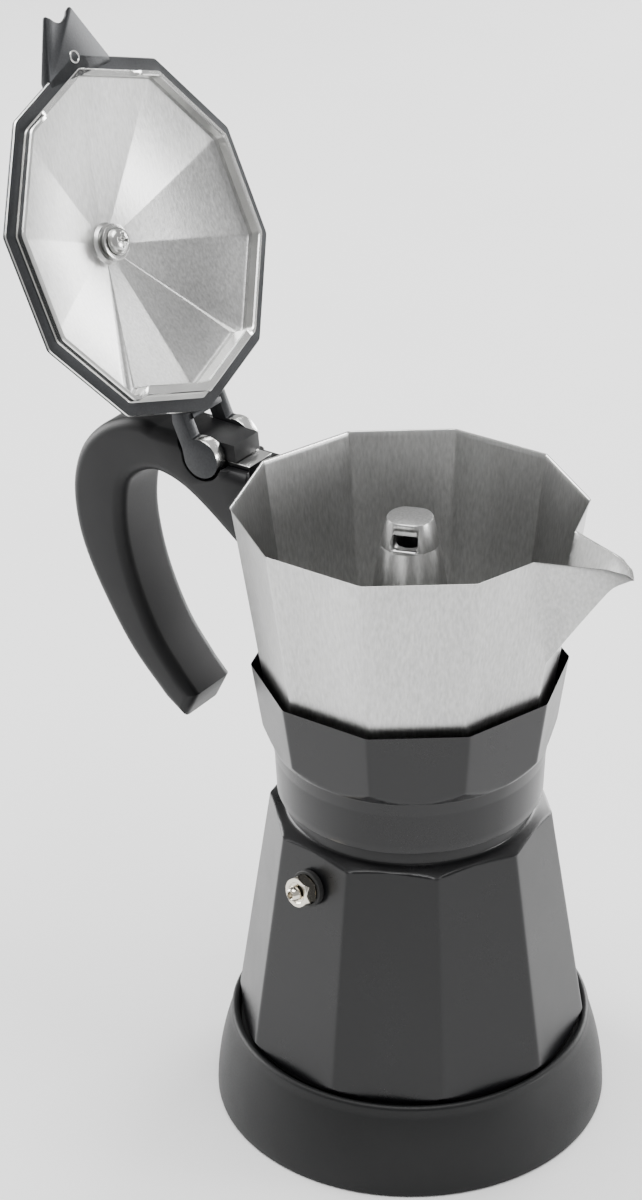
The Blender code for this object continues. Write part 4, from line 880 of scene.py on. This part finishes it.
def lid_mesh(sizes):
    """The lid's shell: flange, lip, pyramid recess, boss, and the ten-sided roof."""
    sharp = sizes.corner_sharpness
    extra = [s * k for s in (1, -1) for k in (25, 25.7, 26.5, 27.3, 28, 146, 146.7, 147.3, 148, 148.5)]
    angles = column_angles(0, extra)
    rows, bands = [], []

    def row(radius, z, band):
        reach = radius if callable(radius) else lambda a: radius
        rows.append(spin_points(angles, lambda a: ten_sided(reach(a), a, 0, sharp), z))
        bands.append(band)

    def lip(outer, inset, rise):
        def height(a):
            return LID_Z - lip_drop(a) + rise * ramp(lip_drop(a), 0, MM)
        row(lambda a: lip_radius(a, outer) + inset, height, 1)

    for radius, z in ((9.5 * MM, ROOF_Z), (10.2 * MM, ROOF_Z - 0.15 * MM),
                      (LID_RADIUS - 3.6 * MM, LID_Z + 3.3 * MM),
                      (LID_RADIUS - 1.7 * MM, LID_Z + 2.4 * MM), (LID_RADIUS - 0.3 * MM, LID_Z + 1.2 * MM),
                      (LID_RADIUS, LID_Z + 0.9 * MM)):
        row(radius, z, 0)
    row(LID_RADIUS, LID_Z + 0.25 * MM, 1)
    row(LID_RADIUS - 0.25 * MM, LID_Z, 0)
    row(LIP_OUTER + 0.35 * MM, LID_Z, 1)
    row(lambda a: lip_radius(a, True) + 0.05 * MM, LID_Z - 0.05 * MM, 1)
    lip(True, 0, 0.3 * MM)
    lip(True, -0.3 * MM, 0)
    lip(False, 0.3 * MM, 0)
    lip(False, 0, 0.3 * MM)
    for inset, rise in ((0.02, 0.6), (0.1, 1.9), (0.6, 2.35)):
        row(lambda a, inset=inset: lip_radius(a, False) - inset * MM, LID_Z + rise * MM, 2)
    row(6.2 * MM, PEAK_Z - 1.75 * MM, 2)
    return rows_to_mesh(rows, bands, closed=False)


def tab_mesh():
    """Thumb tab over the spout: thick at its root, thin at its horns, with a round notch."""
    root, tip = RIM_RADIUS - 5 * MM, RIM_RADIUS + 13 * MM
    root_half, tip_half = 12.8 * MM, 5.6 * MM
    shoulder = RIM_RADIUS - 2.9 * MM
    horn_x, horn_y, horn = tip - 1.3 * MM, tip_half - 1 * MM, 1.2 * MM
    outline = [(root, root_half), (shoulder, root_half)]
    outline += arc((horn_x, horn_y), horn, (80, 50, 20))
    outline += arc((tip + 0.9 * MM, 0), 4 * MM, range(118, 243, 8))
    outline += arc((horn_x, -horn_y), horn, (-20, -50, -80))
    outline += [(shoulder, -root_half), (root, -root_half)]
    bm = bmesh.new()
    low = [bm.verts.new((x, y, LID_Z)) for x, y in outline]
    high = []
    for x, y in outline:
        share = max(0.0, min(1.0, (x - shoulder) / (tip - shoulder)))
        high.append(bm.verts.new((x, y, LID_Z + (3.0 - 2.1 * share) * MM)))
    bm.faces.new(low)
    bm.faces.new(high)
    for k in range(len(low)):
        n = (k + 1) % len(low)
        bm.faces.new((low[k], low[n], high[n], high[k]))
    bmesh.ops.recalc_face_normals(bm, faces=bm.faces)
    return rounded(bm, 0.22 * MM, 2, 40)


def ring_mark():
    """Small raised ring left by the mould on the tab's underside."""
    bm = ring([(1.25 * MM, LID_Z + 0.1 * MM), (1.4 * MM, LID_Z - 0.14 * MM), (1.75 * MM, LID_Z - 0.14 * MM),
               (1.9 * MM, LID_Z + 0.1 * MM)], 32)
    bm.transform(Matrix.Translation((RIM_RADIUS + 0.3 * MM, 0, 0)))
    return bm


def arm_mesh(side):
    """One arm: a painted bar that ends in a round eye, whose rim is machined bare."""
    low, top = LID_Z + 0.6 * MM, HINGE.z + 4.9 * MM
    root = -(LID_RADIUS - 6 * MM)
    end = arc((HINGE.x, HINGE.z), ARM_RADIUS, range(90, 361, 12))
    outline = end + [(HINGE.x + ARM_RADIUS + 0.4 * MM, low), (root, low), (root, LID_Z + 3.4 * MM),
                     (-(LID_RADIUS - 1 * MM), top), (HINGE.x + 4 * MM, top)]
    half = (ARM_OUTER - ARM_INNER) / 2
    arm = slab(outline, half, side * (ARM_INNER + half))
    rounded(arm, 0.2 * MM, 2, 40)
    for face in arm.faces:
        place = face.calc_center_median()
        reach = math.hypot(place.x - HINGE.x, place.z - HINGE.z)
        if abs(face.normal.y) < 0.5 and reach < ARM_RADIUS + 0.1 * MM:
            face.material_index = 1
    return arm


def bridge_mesh():
    """The web between the arms, with its straight end."""
    x = -(LID_RADIUS - 0.2 * MM)
    bm = box_mesh((x, -ARM_INNER - 0.5 * MM, LID_Z + 0.02 * MM),
                  (x + 1.6 * MM, ARM_INNER + 0.5 * MM, HINGE.z + 4.2 * MM))
    return rounded(bm, 0.25 * MM, 2)


def boss_mesh():
    """Boss under the peak that the knob's screw pulls on."""
    end = PEAK_Z - 2.6 * MM
    return lathe([(8 * MM, PEAK_Z + 0.4 * MM), (6.9 * MM, PEAK_Z - 1.3 * MM), (5.9 * MM, PEAK_Z - 1.7 * MM),
                  (5.5 * MM, end + 0.3 * MM), (5.2 * MM, end)], 48)


# ---------------------------------------------------------------- geometry node trees
HOLE_ROWS = 45


def new_tree(name, **inputs):
    """A geometry node tree with inputs named under their kind; returns (tree, its input sockets)."""
    tree = bpy.data.node_groups.new(name, "GeometryNodeTree")
    tree.interface.new_socket("Geometry", in_out="OUTPUT", socket_type="NodeSocketGeometry")
    for kind, titles in inputs.items():
        for title in titles:
            tree.interface.new_socket(title, in_out="INPUT", socket_type="NodeSocket" + kind)
    tree.interface.new_socket("Material", in_out="INPUT", socket_type="NodeSocketMaterial")
    return tree, tree.nodes.new("NodeGroupInput").outputs


def end_tree(tree, geometry, material):
    """Finish a tree with Realize Instances and Set Material."""
    real = add_node(tree, "GeometryNodeRealizeInstances", {"Geometry": geometry}).outputs[0]
    coated = add_node(tree, "GeometryNodeSetMaterial", {"Geometry": real, "Material": material}).outputs[0]
    out = tree.nodes.new("NodeGroupOutput")
    tree.links.new(coated, out.inputs[0])


def grown(name, tree, values):
    """A plain mesh object that a tree grows from the given input values."""
    obj = bpy.data.objects.new(name, bpy.data.meshes.new(name))
    bpy.context.scene.collection.objects.link(obj)
    modifier = obj.modifiers.new("grow", "NODES")
    modifier.node_group = tree
    for item in tree.interface.items_tree:
        if item.in_out == "INPUT" and item.name in values:
            modifier[item.identifier] = values[item.name]
    settled(obj)
    obj.data.shade_smooth()
    obj.data.set_sharp_from_angle(angle=math.radians(35))
    return obj


def coil_tree():
    """A round bar swept along a rising spiral: a thread's ridge or a spring."""
    tree, given = new_tree("coil", Float=("Coil Radius", "Bar Radius", "Turns", "Rise"), Vector=("Start",))
    spiral = add_node(tree, "GeometryNodeCurveSpiral", {
        "Resolution": 48, "Rotations": given["Turns"], "Start Radius": given["Coil Radius"],
        "End Radius": given["Coil Radius"], "Height": given["Rise"], "Reverse": False})
    circle = add_node(tree, "GeometryNodeCurvePrimitiveCircle",
                      {"Resolution": 12, "Radius": given["Bar Radius"]})
    swept = add_node(tree, "GeometryNodeCurveToMesh", {
        "Curve": spiral.outputs[0], "Profile Curve": circle.outputs[0], "Fill Caps": True})
    moved = add_node(tree, "GeometryNodeTransform", {
        "Geometry": swept.outputs[0], "Translation": given["Start"]})
    end_tree(tree, moved.outputs[0], given["Material"])
    return tree


def circle_tree():
    """Copies of one piece, evenly spaced round a circle."""
    tree, given = new_tree("round_a_circle", Object=("Piece",), Int=("Count",),
                           Float=("Circle Radius", "First Angle"))
    number = add_node(tree, "GeometryNodeInputIndex").outputs[0]
    angle = maths(tree, "MULTIPLY_ADD", number, maths(tree, "DIVIDE", 2 * math.pi, given["Count"]),
                  given["First Angle"])
    unit = add_node(tree, "ShaderNodeCombineXYZ", {
        "X": maths(tree, "COSINE", angle), "Y": maths(tree, "SINE", angle)})
    place = add_node(tree, "ShaderNodeVectorMath", {0: unit.outputs[0], "Scale": given["Circle Radius"]},
                     operation="SCALE")
    points = add_node(tree, "GeometryNodePoints", {"Count": given["Count"], "Position": place.outputs[0]})
    item = add_node(tree, "GeometryNodeObjectInfo", {"Object": given["Piece"]})
    copies = add_node(tree, "GeometryNodeInstanceOnPoints", {
        "Points": points.outputs[0], "Instance": item.outputs["Geometry"]})
    end_tree(tree, copies.outputs[0], given["Material"])
    return tree


def perforated_tree():
    """A round plate with a close field of round holes, in rows 60 degrees apart."""
    tree, given = new_tree("perforated_plate", Float=("Plate Radius", "Field Radius", "Hole Radius", "Pitch",
                                                      "Thickness", "Height"))
    plate = add_node(tree, "GeometryNodeMeshCylinder", {
        "Vertices": 96, "Radius": given["Plate Radius"], "Depth": given["Thickness"]})
    width = maths(tree, "MULTIPLY", given["Pitch"], HOLE_ROWS - 1)
    depth = maths(tree, "MULTIPLY", width, math.sin(math.pi / 3))
    grid = add_node(tree, "GeometryNodeMeshGrid", {
        "Size X": width, "Size Y": depth, "Vertices X": HOLE_ROWS, "Vertices Y": HOLE_ROWS})
    spot = add_node(tree, "GeometryNodeInputPosition").outputs[0]
    parts = add_node(tree, "ShaderNodeSeparateXYZ", {"Vector": spot})
    shear = maths(tree, "MULTIPLY", parts.outputs["Y"], math.tan(math.pi / 6))
    offset = add_node(tree, "ShaderNodeCombineXYZ", {"X": shear})
    sheared = add_node(tree, "GeometryNodeSetPosition",
                       {"Geometry": grid.outputs[0], "Offset": offset.outputs[0]})
    far = add_node(tree, "ShaderNodeVectorMath", {0: spot}, operation="LENGTH").outputs["Value"]
    beyond = maths(tree, "GREATER_THAN", far, given["Field Radius"])
    kept = add_node(tree, "GeometryNodeDeleteGeometry",
                    {"Geometry": sheared.outputs[0], "Selection": beyond},
                    domain="POINT")
    drill = add_node(tree, "GeometryNodeMeshCylinder", {
        "Vertices": 10, "Radius": given["Hole Radius"],
        "Depth": maths(tree, "MULTIPLY", given["Thickness"], 3.0)})
    drills = add_node(tree, "GeometryNodeInstanceOnPoints", {
        "Points": kept.outputs[0], "Instance": drill.outputs[0]})
    real = add_node(tree, "GeometryNodeRealizeInstances", {"Geometry": drills.outputs[0]})
    holed = add_node(tree, "GeometryNodeMeshBoolean",
                     {"Mesh 1": plate.outputs[0], "Mesh 2": real.outputs[0]},
                     operation="DIFFERENCE", solver="MANIFOLD")
    lift = add_node(tree, "ShaderNodeCombineXYZ", {"Z": given["Height"]})
    moved = add_node(tree, "GeometryNodeTransform", {
        "Geometry": holed.outputs[0], "Translation": lift.outputs[0]})
    end_tree(tree, moved.outputs[0], given["Material"])
    return tree


# ---------------------------------------------------------------- operators
class POT_OT_finishes(bpy.types.Operator):
    """Make every finish and put it on the CAD pieces that keep their shape"""

    bl_idname = "moka_pot.finishes"
    bl_label = "Finishes"

    def execute(self, context):
        FINISHES.update(make_finishes(context.scene.moka_colours))
        for node, item in CAD_FINISHES.items():
            for slot in frame["nodes"][node].material_slots:
                slot.material = FINISHES[item]
        return {"FINISHED"}


class POT_OT_collector(bpy.types.Operator):
    """Make the collector's casting, its column, its lug and its thread"""

    bl_idname = "moka_pot.collector"
    bl_label = "Collector"

    def execute(self, context):
        sizes = context.scene.moka_sizes
        piece("collector_casting", collector_mesh(sizes), ["paint", "machined", "casting"],
              "collector_body", "painted_aluminium", "collector")
        make_column()
        make_lug()
        thread = grown("collector_thread", coil_tree(), {
            "Coil Radius": SKIRT_BORE + 0.1 * MM, "Bar Radius": 0.95 * MM, "Turns": 2.25,
            "Rise": 2.25 * sizes.thread_pitch, "Start": (0, 0, COLLAR_Z + 3.1 * MM),
            "Material": FINISHES["casting"]})
        placed(thread, "collector_body", "painted_aluminium")
        return {"FINISHED"}


class POT_OT_boiler(bpy.types.Operator):
    """Make the boiler's casting and its thread"""

    bl_idname = "moka_pot.boiler"
    bl_label = "Boiler"

    def execute(self, context):
        sizes = context.scene.moka_sizes
        piece("boiler_casting", boiler_mesh(sizes), ["paint", "casting"], "boiler_body",
              "painted_aluminium", "boiler")
        thread = grown("boiler_thread", coil_tree(), {
            "Coil Radius": NECK_RADIUS - 0.1 * MM, "Bar Radius": 0.95 * MM, "Turns": 2.25,
            "Rise": 2.25 * sizes.thread_pitch, "Start": (0, 0, COLLAR_Z + 1.6 * MM),
            "Material": FINISHES["machined"]})
        placed(thread, "boiler_body", "painted_aluminium")
        return {"FINISHED"}


class POT_OT_foot(bpy.types.Operator):
    """Make the moulded foot and the screws inside it"""

    bl_idname = "moka_pot.foot"
    bl_label = "Foot"

    def execute(self, context):
        piece("foot_shell", foot_mesh(), ["foot"], "boiler_body", "black_plastic", "foot")
        tree = circle_tree()
        for name, nodes, first in (("foot_screws", [f"foot_screw_{k}" for k in (1, 2, 3)], 60),
                                   ("cover_screws", [f"cover_screw_{k}" for k in (1, 2, 3)], 0),
                                   ("coupler_screws", [f"coupler_screw_{k}" for k in (1, 2)], 90)):
            self.screws(name, nodes, first, tree)
        return {"FINISHED"}

    def screws(self, name, nodes, first, tree):
        """One set of like screws, copied round their circle."""
        low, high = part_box(nodes[0])
        middle = (low + high) / 2
        radius = math.hypot(middle.x, middle.y)
        pattern = plain_object("pattern", screw_mesh(low.z, high.z, (high.x - low.x) / 2, 1.3 * MM,
                                                     1.8 * MM, name != "coupler_screws"), ["steel"])
        made = grown(name, tree, {"Piece": pattern, "Count": len(nodes), "Circle Radius": radius,
                                  "First Angle": math.radians(first), "Material": FINISHES["steel"]})
        bpy.data.objects.remove(pattern, do_unlink=True)
        placed(made, "boiler_body", "steel", *nodes)


def screw_mesh(low, high, head_radius, shank_radius, head_height, head_down):
    """A domed screw along Z, its head at the low or the high end; the cross recess is not cut here."""
    length = high - low
    profile = [(head_radius * share, 0.75 * head_height * (1 - math.sqrt(1 - share ** 2)))
               for share in (0.35, 0.6, 0.8, 0.93, 1.0)]
    profile += [(head_radius, head_height), (shank_radius, head_height)]
    for z in steps(head_height + 0.4 * MM, length - 0.8 * MM, 0.4 * MM):
        even = round(z / (0.4 * MM)) % 2
        profile.append((shank_radius * (0.82 if even else 1.0), z))
    profile.append((shank_radius * 0.4, length))
    bm = lathe(profile, 24)
    if not head_down:
        bm.transform(Matrix.Rotation(math.pi, 4, "X"))
        bm.transform(Matrix.Translation((0, 0, high)))
    else:
        bm.transform(Matrix.Translation((0, 0, low)))
    return bm


class POT_OT_handle(bpy.types.Operator):
    """Make the moulded handle with the hinge's tongue"""

    bl_idname = "moka_pot.handle"
    bl_label = "Handle"

    def execute(self, context):
        handle = plain_object("handle_moulding", handle_mesh(context.scene.moka_sizes.handle_edge),
                              ["plastic"])
        trimmed(handle, handle_cutters())
        bevel = handle.modifiers.new("soft_edges", "BEVEL")
        bevel.width = 0.4 * MM
        bevel.segments = 2
        bevel.limit_method = "ANGLE"
        bevel.angle_limit = math.radians(40)
        settled(handle)
        handle.data.shade_smooth()
        handle.data.set_sharp_from_angle(angle=math.radians(35))
        placed(handle, "collector_body", "black_plastic", "handle")
        return {"FINISHED"}


class POT_OT_lid(bpy.types.Operator):
    """Make the lid's casting, with its tab and its hinge arms"""

    bl_idname = "moka_pot.lid"
    bl_label = "Lid"

    def execute(self, context):
        shell = lid_mesh(context.scene.moka_sizes)
        arms = gathered([arm_mesh(1), arm_mesh(-1), bridge_mesh()])
        lid_piece("lid_casting", shell, ["lid_paint", "machined", "casting"], "painted_aluminium", "lid")
        lid_piece("lid_arms", arms, ["lid_paint", "machined"], "painted_aluminium")
        lid_piece("lid_tab", tab_mesh(), ["lid_paint"], "painted_aluminium")
        lid_piece("tab_mark", ring_mark(), ["machined"], "painted_aluminium")
        lid_piece("lid_boss", boss_mesh(), ["casting"], "painted_aluminium")
        return {"FINISHED"}


class POT_OT_knob(bpy.types.Operator):
    """Make the lid's knob with its screw and washers"""

    bl_idname = "moka_pot.knob"
    bl_label = "Knob"

    def execute(self, context):
        seat = ROOF_Z + 0.3 * MM
        outline = smooth_path([(7.8, 0), (6.6, 1.6), (6.4, 5), (7.6, 8.8), (10, 12.2), (10.5, 14.6),
                               (9.6, 17),
                               (7, 18.5), (3, 19)], 4)
        profile = [(r * MM, seat + z * MM) for r, z in outline]
        lid_piece("knob_moulding", lathe(profile, 96), ["plastic"], "black_plastic", "lid_knob")
        lock_top = PEAK_Z - 2.9 * MM
        flat_top = lock_top - 1.2 * MM
        lid_piece("lock_washer", self.washer_mesh(lock_top, 4.1 * MM, 0.9 * MM), ["steel"], "steel",
                  "knob_lock_washer")
        lid_piece("flat_washer", self.washer_mesh(flat_top, 5 * MM, 0.6 * MM), ["steel"], "steel",
                  "knob_washer")
        head_z = flat_top - 0.9 * MM - 2.4 * MM
        shape = screw_mesh(head_z, seat + 8.7 * MM, 3.8 * MM, 1.9 * MM, 2.4 * MM, True)
        screw = plain_object("cross_head_screw", shape, ["steel"])
        recess = []
        for turn in (20, 110):
            wing = box_mesh((-2.1 * MM, -0.42 * MM, head_z - MM), (2.1 * MM, 0.42 * MM, head_z + 1.1 * MM))
            wing.transform(Matrix.Rotation(math.radians(turn), 4, "Z"))
            recess.append(wing)
        trimmed(screw, recess)
        placed(opened(screw), "lid_body", "steel", "knob_screw")
        return {"FINISHED"}

    def washer_mesh(self, top, radius, thickness):
        """A flat ring on the knob's screw, with its edges eased."""
        bore = 2.2 * MM
        bm = ring([(bore, top), (radius, top), (radius, top - thickness), (bore, top - thickness)], 48)
        return rounded(bm, 0.12 * MM, 2)


class POT_OT_valve(bpy.types.Operator):
    """Make the safety valve: hexagon body, washer, stem and spring"""

    bl_idname = "moka_pot.valve"
    bl_label = "Safety valve"

    def execute(self, context):
        self.place = self.seat()
        body = self.body_mesh()
        body.transform(self.place)
        piece("valve_hexagon", body, ["nickel"], "boiler_body", "nickel", "valve_body")
        washer = ring([(4.3 * MM, 0.3 * MM), (5.0 * MM, 0.3 * MM), (5.1 * MM, 0.5 * MM),
                       (5.1 * MM, 1.9 * MM),
                       (4.9 * MM, 2.1 * MM), (4.3 * MM, 2.1 * MM)], 48)
        washer.transform(self.place)
        piece("valve_washer", washer, ["fibre"], "boiler_body", "dark_seal", "valve_seal")
        stem = self.stem_mesh()
        stem.transform(self.place)
        piece("valve_pin", stem, ["nickel"], "valve_stem_body", "nickel", "valve_stem")
        low, bar, rise, travel = -13.9 * MM, 0.3 * MM, 6.6 * MM, 1.5 * MM
        spring = grown("valve_coil", coil_tree(), {
            "Coil Radius": 2.1 * MM, "Bar Radius": bar, "Turns": 5.0, "Rise": rise,
            "Start": (0, 0, low), "Material": FINISHES["steel"]})
        spring.data.transform(self.place)
        placed(spring, "boiler_body", "steel", "valve_spring")
        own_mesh(spring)
        return {"FINISHED"}

    def seat(self):
        """Matrix whose +Z leaves the boiler's facet at the valve."""
        low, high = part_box("valve_seal")
        middle = (low + high) / 2
        start = middle - VALVE_AXIS * 1.2 * MM
        turn = Vector((0, 0, 1)).rotation_difference(VALVE_AXIS).to_matrix().to_4x4()
        return Matrix.Translation(start) @ turn

    def body_mesh(self):
        """Hexagon head with a turned chamfer on a round shank."""
        low, high, flats = 2.4 * MM, 5.8 * MM, 4 * MM
        angles = even_angles(72)

        def hexagon(a):
            return flats / max(math.cos(a - math.pi / 3 * k) for k in range(6))

        rows = [spin_points(angles, 1.6 * MM, -6.6 * MM), spin_points(angles, 4 * MM, -6.6 * MM),
                spin_points(angles, 4 * MM, low), spin_points(angles, lambda a: hexagon(a) - 0.1 * MM, low)]
        for z in steps(low + 0.1 * MM, high, 0.17 * MM):
            cone = flats + 0.05 * MM + (high - z) * 0.62
            rows.append(spin_points(angles, lambda a, cone=cone: smooth_min(hexagon(a), cone, 0.1 * MM), z))
        rows += [spin_points(angles, 3.0 * MM, high + 0.02 * MM),
                 spin_points(angles, 2.7 * MM, high - 0.25 * MM),
                 spin_points(angles, 1.9 * MM, high - 0.25 * MM),
                 spin_points(angles, 1.6 * MM, high - 0.5 * MM)]
        return rows_to_mesh(rows, [0] * len(rows), closed=True)

    def stem_mesh(self):
        """Stem with its inner disc and the hollow cone that shows outside."""
        top = 6.1 * MM
        low = -15.4 * MM
        return lathe([(1.4 * MM, low), (2.6 * MM, low), (2.8 * MM, low + 0.2 * MM),
                      (2.8 * MM, low + 0.8 * MM),
                      (1.2 * MM, low + 0.8 * MM), (1.2 * MM, top), (2.1 * MM, top),
                      (2.15 * MM, top + 0.7 * MM),
                      (1.5 * MM, top + 2.0 * MM), (1.3 * MM, top + 2.15 * MM), (1.0 * MM, top + 2.0 * MM),
                      (0.8 * MM, top + 0.9 * MM), (0.3 * MM, top + 0.8 * MM)], 40)


class POT_OT_filter(bpy.types.Operator):
    """Make the funnel, the seal ring and the two perforated plates"""

    bl_idname = "moka_pot.filter"
    bl_label = "Funnel and filter"

    def execute(self, context):
        sizes = context.scene.moka_sizes
        tree = perforated_tree()
        for name, node, body in (("sieve_plate", "funnel_sieve", "boiler_body"),
                                 ("filter_disc", "filter_plate", "seal_carrier")):
            low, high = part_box(node)
            plate = grown(name, tree, {
                "Plate Radius": high.x, "Field Radius": high.x - 2.6 * MM, "Hole Radius": sizes.sieve_hole,
                "Pitch": sizes.sieve_pitch, "Thickness": high.z - low.z, "Height": (low.z + high.z) / 2,
                "Material": FINISHES["sheet"]})
            placed(plate, body, "bare_aluminium", node)
        piece("funnel_pressing", self.funnel_mesh(), ["sheet"], "boiler_body", "bare_aluminium", "funnel")
        low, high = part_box("seal_ring")
        inner, outer = high.x - 6.4 * MM, high.x
        seal = ring([(inner, low.z), (outer, low.z), (outer, high.z), (inner, high.z)], 96)
        rounded(seal, 0.5 * MM, 4)
        piece("seal_moulding", seal, ["rubber"], "seal_carrier", "seal_rubber", "seal_ring")
        return {"FINISHED"}

    def funnel_mesh(self):
        """Flanged basket and its tube, pressed from one sheet."""
        low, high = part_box("funnel")
        sheet = 0.8 * MM
        basket = 29 * MM
        cone = high.z - sheet - 14.8 * MM
        tube = 4.6 * MM
        neck = cone - 6.5 * MM
        return ring([(high.x - 0.1 * MM, high.z), (high.x, high.z - 0.4 * MM),
                     (high.x - 0.1 * MM, high.z - sheet),
                     (basket, high.z - sheet), (basket, cone + 1 * MM), (basket - 0.6 * MM, cone + 0.2 * MM),
                     (tube + 1.2 * MM, neck + 0.2 * MM), (tube, neck - sheet), (tube, low.z),
                     (tube - sheet, low.z),
                     (tube - sheet, neck), (tube + 0.6 * MM, neck + sheet),
                     (basket - 1.4 * MM, cone + sheet + 0.2 * MM),
                     (basket - sheet, cone + sheet + 0.8 * MM), (basket - sheet, high.z - 0.3 * MM),
                     (basket - 0.3 * MM, high.z)], 96)


# ---------------------------------------------------------------- camera, light and floor
CAMERA_PLACE = Vector((403.71, -619.13, 558.79)) * MM
CAMERA_AZIMUTH = math.radians(34.956)
CAMERA_ELEVATION = math.radians(28.507)
CAMERA_ROLL = math.radians(-0.869)
CAMERA_LENS_MM = 94.29


def camera_turn():
    """The camera's rotation: level at the azimuth and elevation, then rolled."""
    az, el = CAMERA_AZIMUTH, CAMERA_ELEVATION
    back = Vector((math.sin(az) * math.cos(el), -math.cos(az) * math.cos(el), math.sin(el)))
    right = Vector((math.cos(az), math.sin(az), 0))
    up = back.cross(right)
    level = Matrix((right, up, back)).transposed()
    return level @ Matrix.Rotation(CAMERA_ROLL, 3, "Z")


def soft_light(name, place, target, size, power):
    """A square soft light that faces a point."""
    data = bpy.data.lights.new(name, "AREA")
    data.shape = "SQUARE"
    data.size = size
    data.energy = power
    light = bpy.data.objects.new(name, data)
    light.location = place
    light.rotation_euler = (Vector(target) - Vector(place)).to_track_quat("-Z", "Y").to_euler()
    bpy.context.scene.collection.objects.link(light)
    return light


class POT_OT_stage(bpy.types.Operator):
    """Set up the camera, the pale floor and the studio light"""

    bl_idname = "moka_pot.stage"
    bl_label = "Stage"

    def execute(self, context):
        data = bpy.data.cameras.new("view")
        data.lens = CAMERA_LENS_MM
        data.sensor_width = 36
        data.clip_end = 20
        camera = bpy.data.objects.new("view", data)
        camera.matrix_world = Matrix.Translation(CAMERA_PLACE) @ camera_turn().to_4x4()
        context.scene.collection.objects.link(camera)
        context.scene.camera = camera
        bm = bmesh.new()
        bmesh.ops.create_grid(bm, x_segments=1, y_segments=1, size=6)
        FINISHES["floor"] = finish("pale_floor", hex_colour("fafafa"), 0.8, 0.0, 2 * MM, 0.001 * MM, 0.01)
        floor = plain_object("floor", bm, ["floor"])
        floor.location.z = -0.2 * MM
        world = bpy.data.worlds.new("studio")
        world.use_nodes = True
        background = world.node_tree.nodes["Background"]
        background.inputs["Color"].default_value = (1, 1, 1, 1)
        background.inputs["Strength"].default_value = 0.55
        context.scene.world = world
        middle = (0, 0, 0.14)
        soft_light("back_softbox", (0.15, 1.5, 0.35), middle, 0.9, 34)
        soft_light("left_softbox", (-1.5, -0.1, 0.5), middle, 0.9, 30)
        soft_light("right_softbox", (1.3, 0.55, 0.35), middle, 0.35, 9)
        soft_light("top_softbox", (0.0, 0.0, 1.8), middle, 1.2, 42)
        return {"FINISHED"}


class POT_PT_panel(bpy.types.Panel):
    """Lists the pot's pieces and their settings"""

    bl_idname = "POT_PT_panel"
    bl_label = "Moka pot"
    bl_space_type = "VIEW_3D"
    bl_region_type = "UI"
    bl_category = "Moka pot"

    def draw(self, context):
        for settings in (context.scene.moka_sizes, context.scene.moka_colours):
            for name in settings.bl_rna.properties.keys():
                if name not in ("rna_type", "name"):
                    self.layout.prop(settings, name)
        for operator in OPERATORS:
            self.layout.operator(operator.bl_idname)


OPERATORS = (POT_OT_finishes, POT_OT_collector, POT_OT_boiler, POT_OT_foot, POT_OT_handle, POT_OT_lid,
             POT_OT_knob,
             POT_OT_valve, POT_OT_filter, POT_OT_stage)
CLASSES = (PotSizes, PotColours, *OPERATORS, POT_PT_panel)


def register():
    """Add the classes and the scene's settings."""
    for item in CLASSES:
        bpy.utils.register_class(item)
    bpy.types.Scene.moka_sizes = PointerProperty(type=PotSizes)
    bpy.types.Scene.moka_colours = PointerProperty(type=PotColours)


def unregister():
    """Remove what register added."""
    del bpy.types.Scene.moka_colours
    del bpy.types.Scene.moka_sizes
    for item in reversed(CLASSES):
        bpy.utils.unregister_class(item)


def main():
    """Build everything in order."""
    register()
    for operator in OPERATORS:
        group, name = operator.bl_idname.split(".")
        getattr(getattr(bpy.ops, group), name)()


if __name__ == "__main__":
    main()
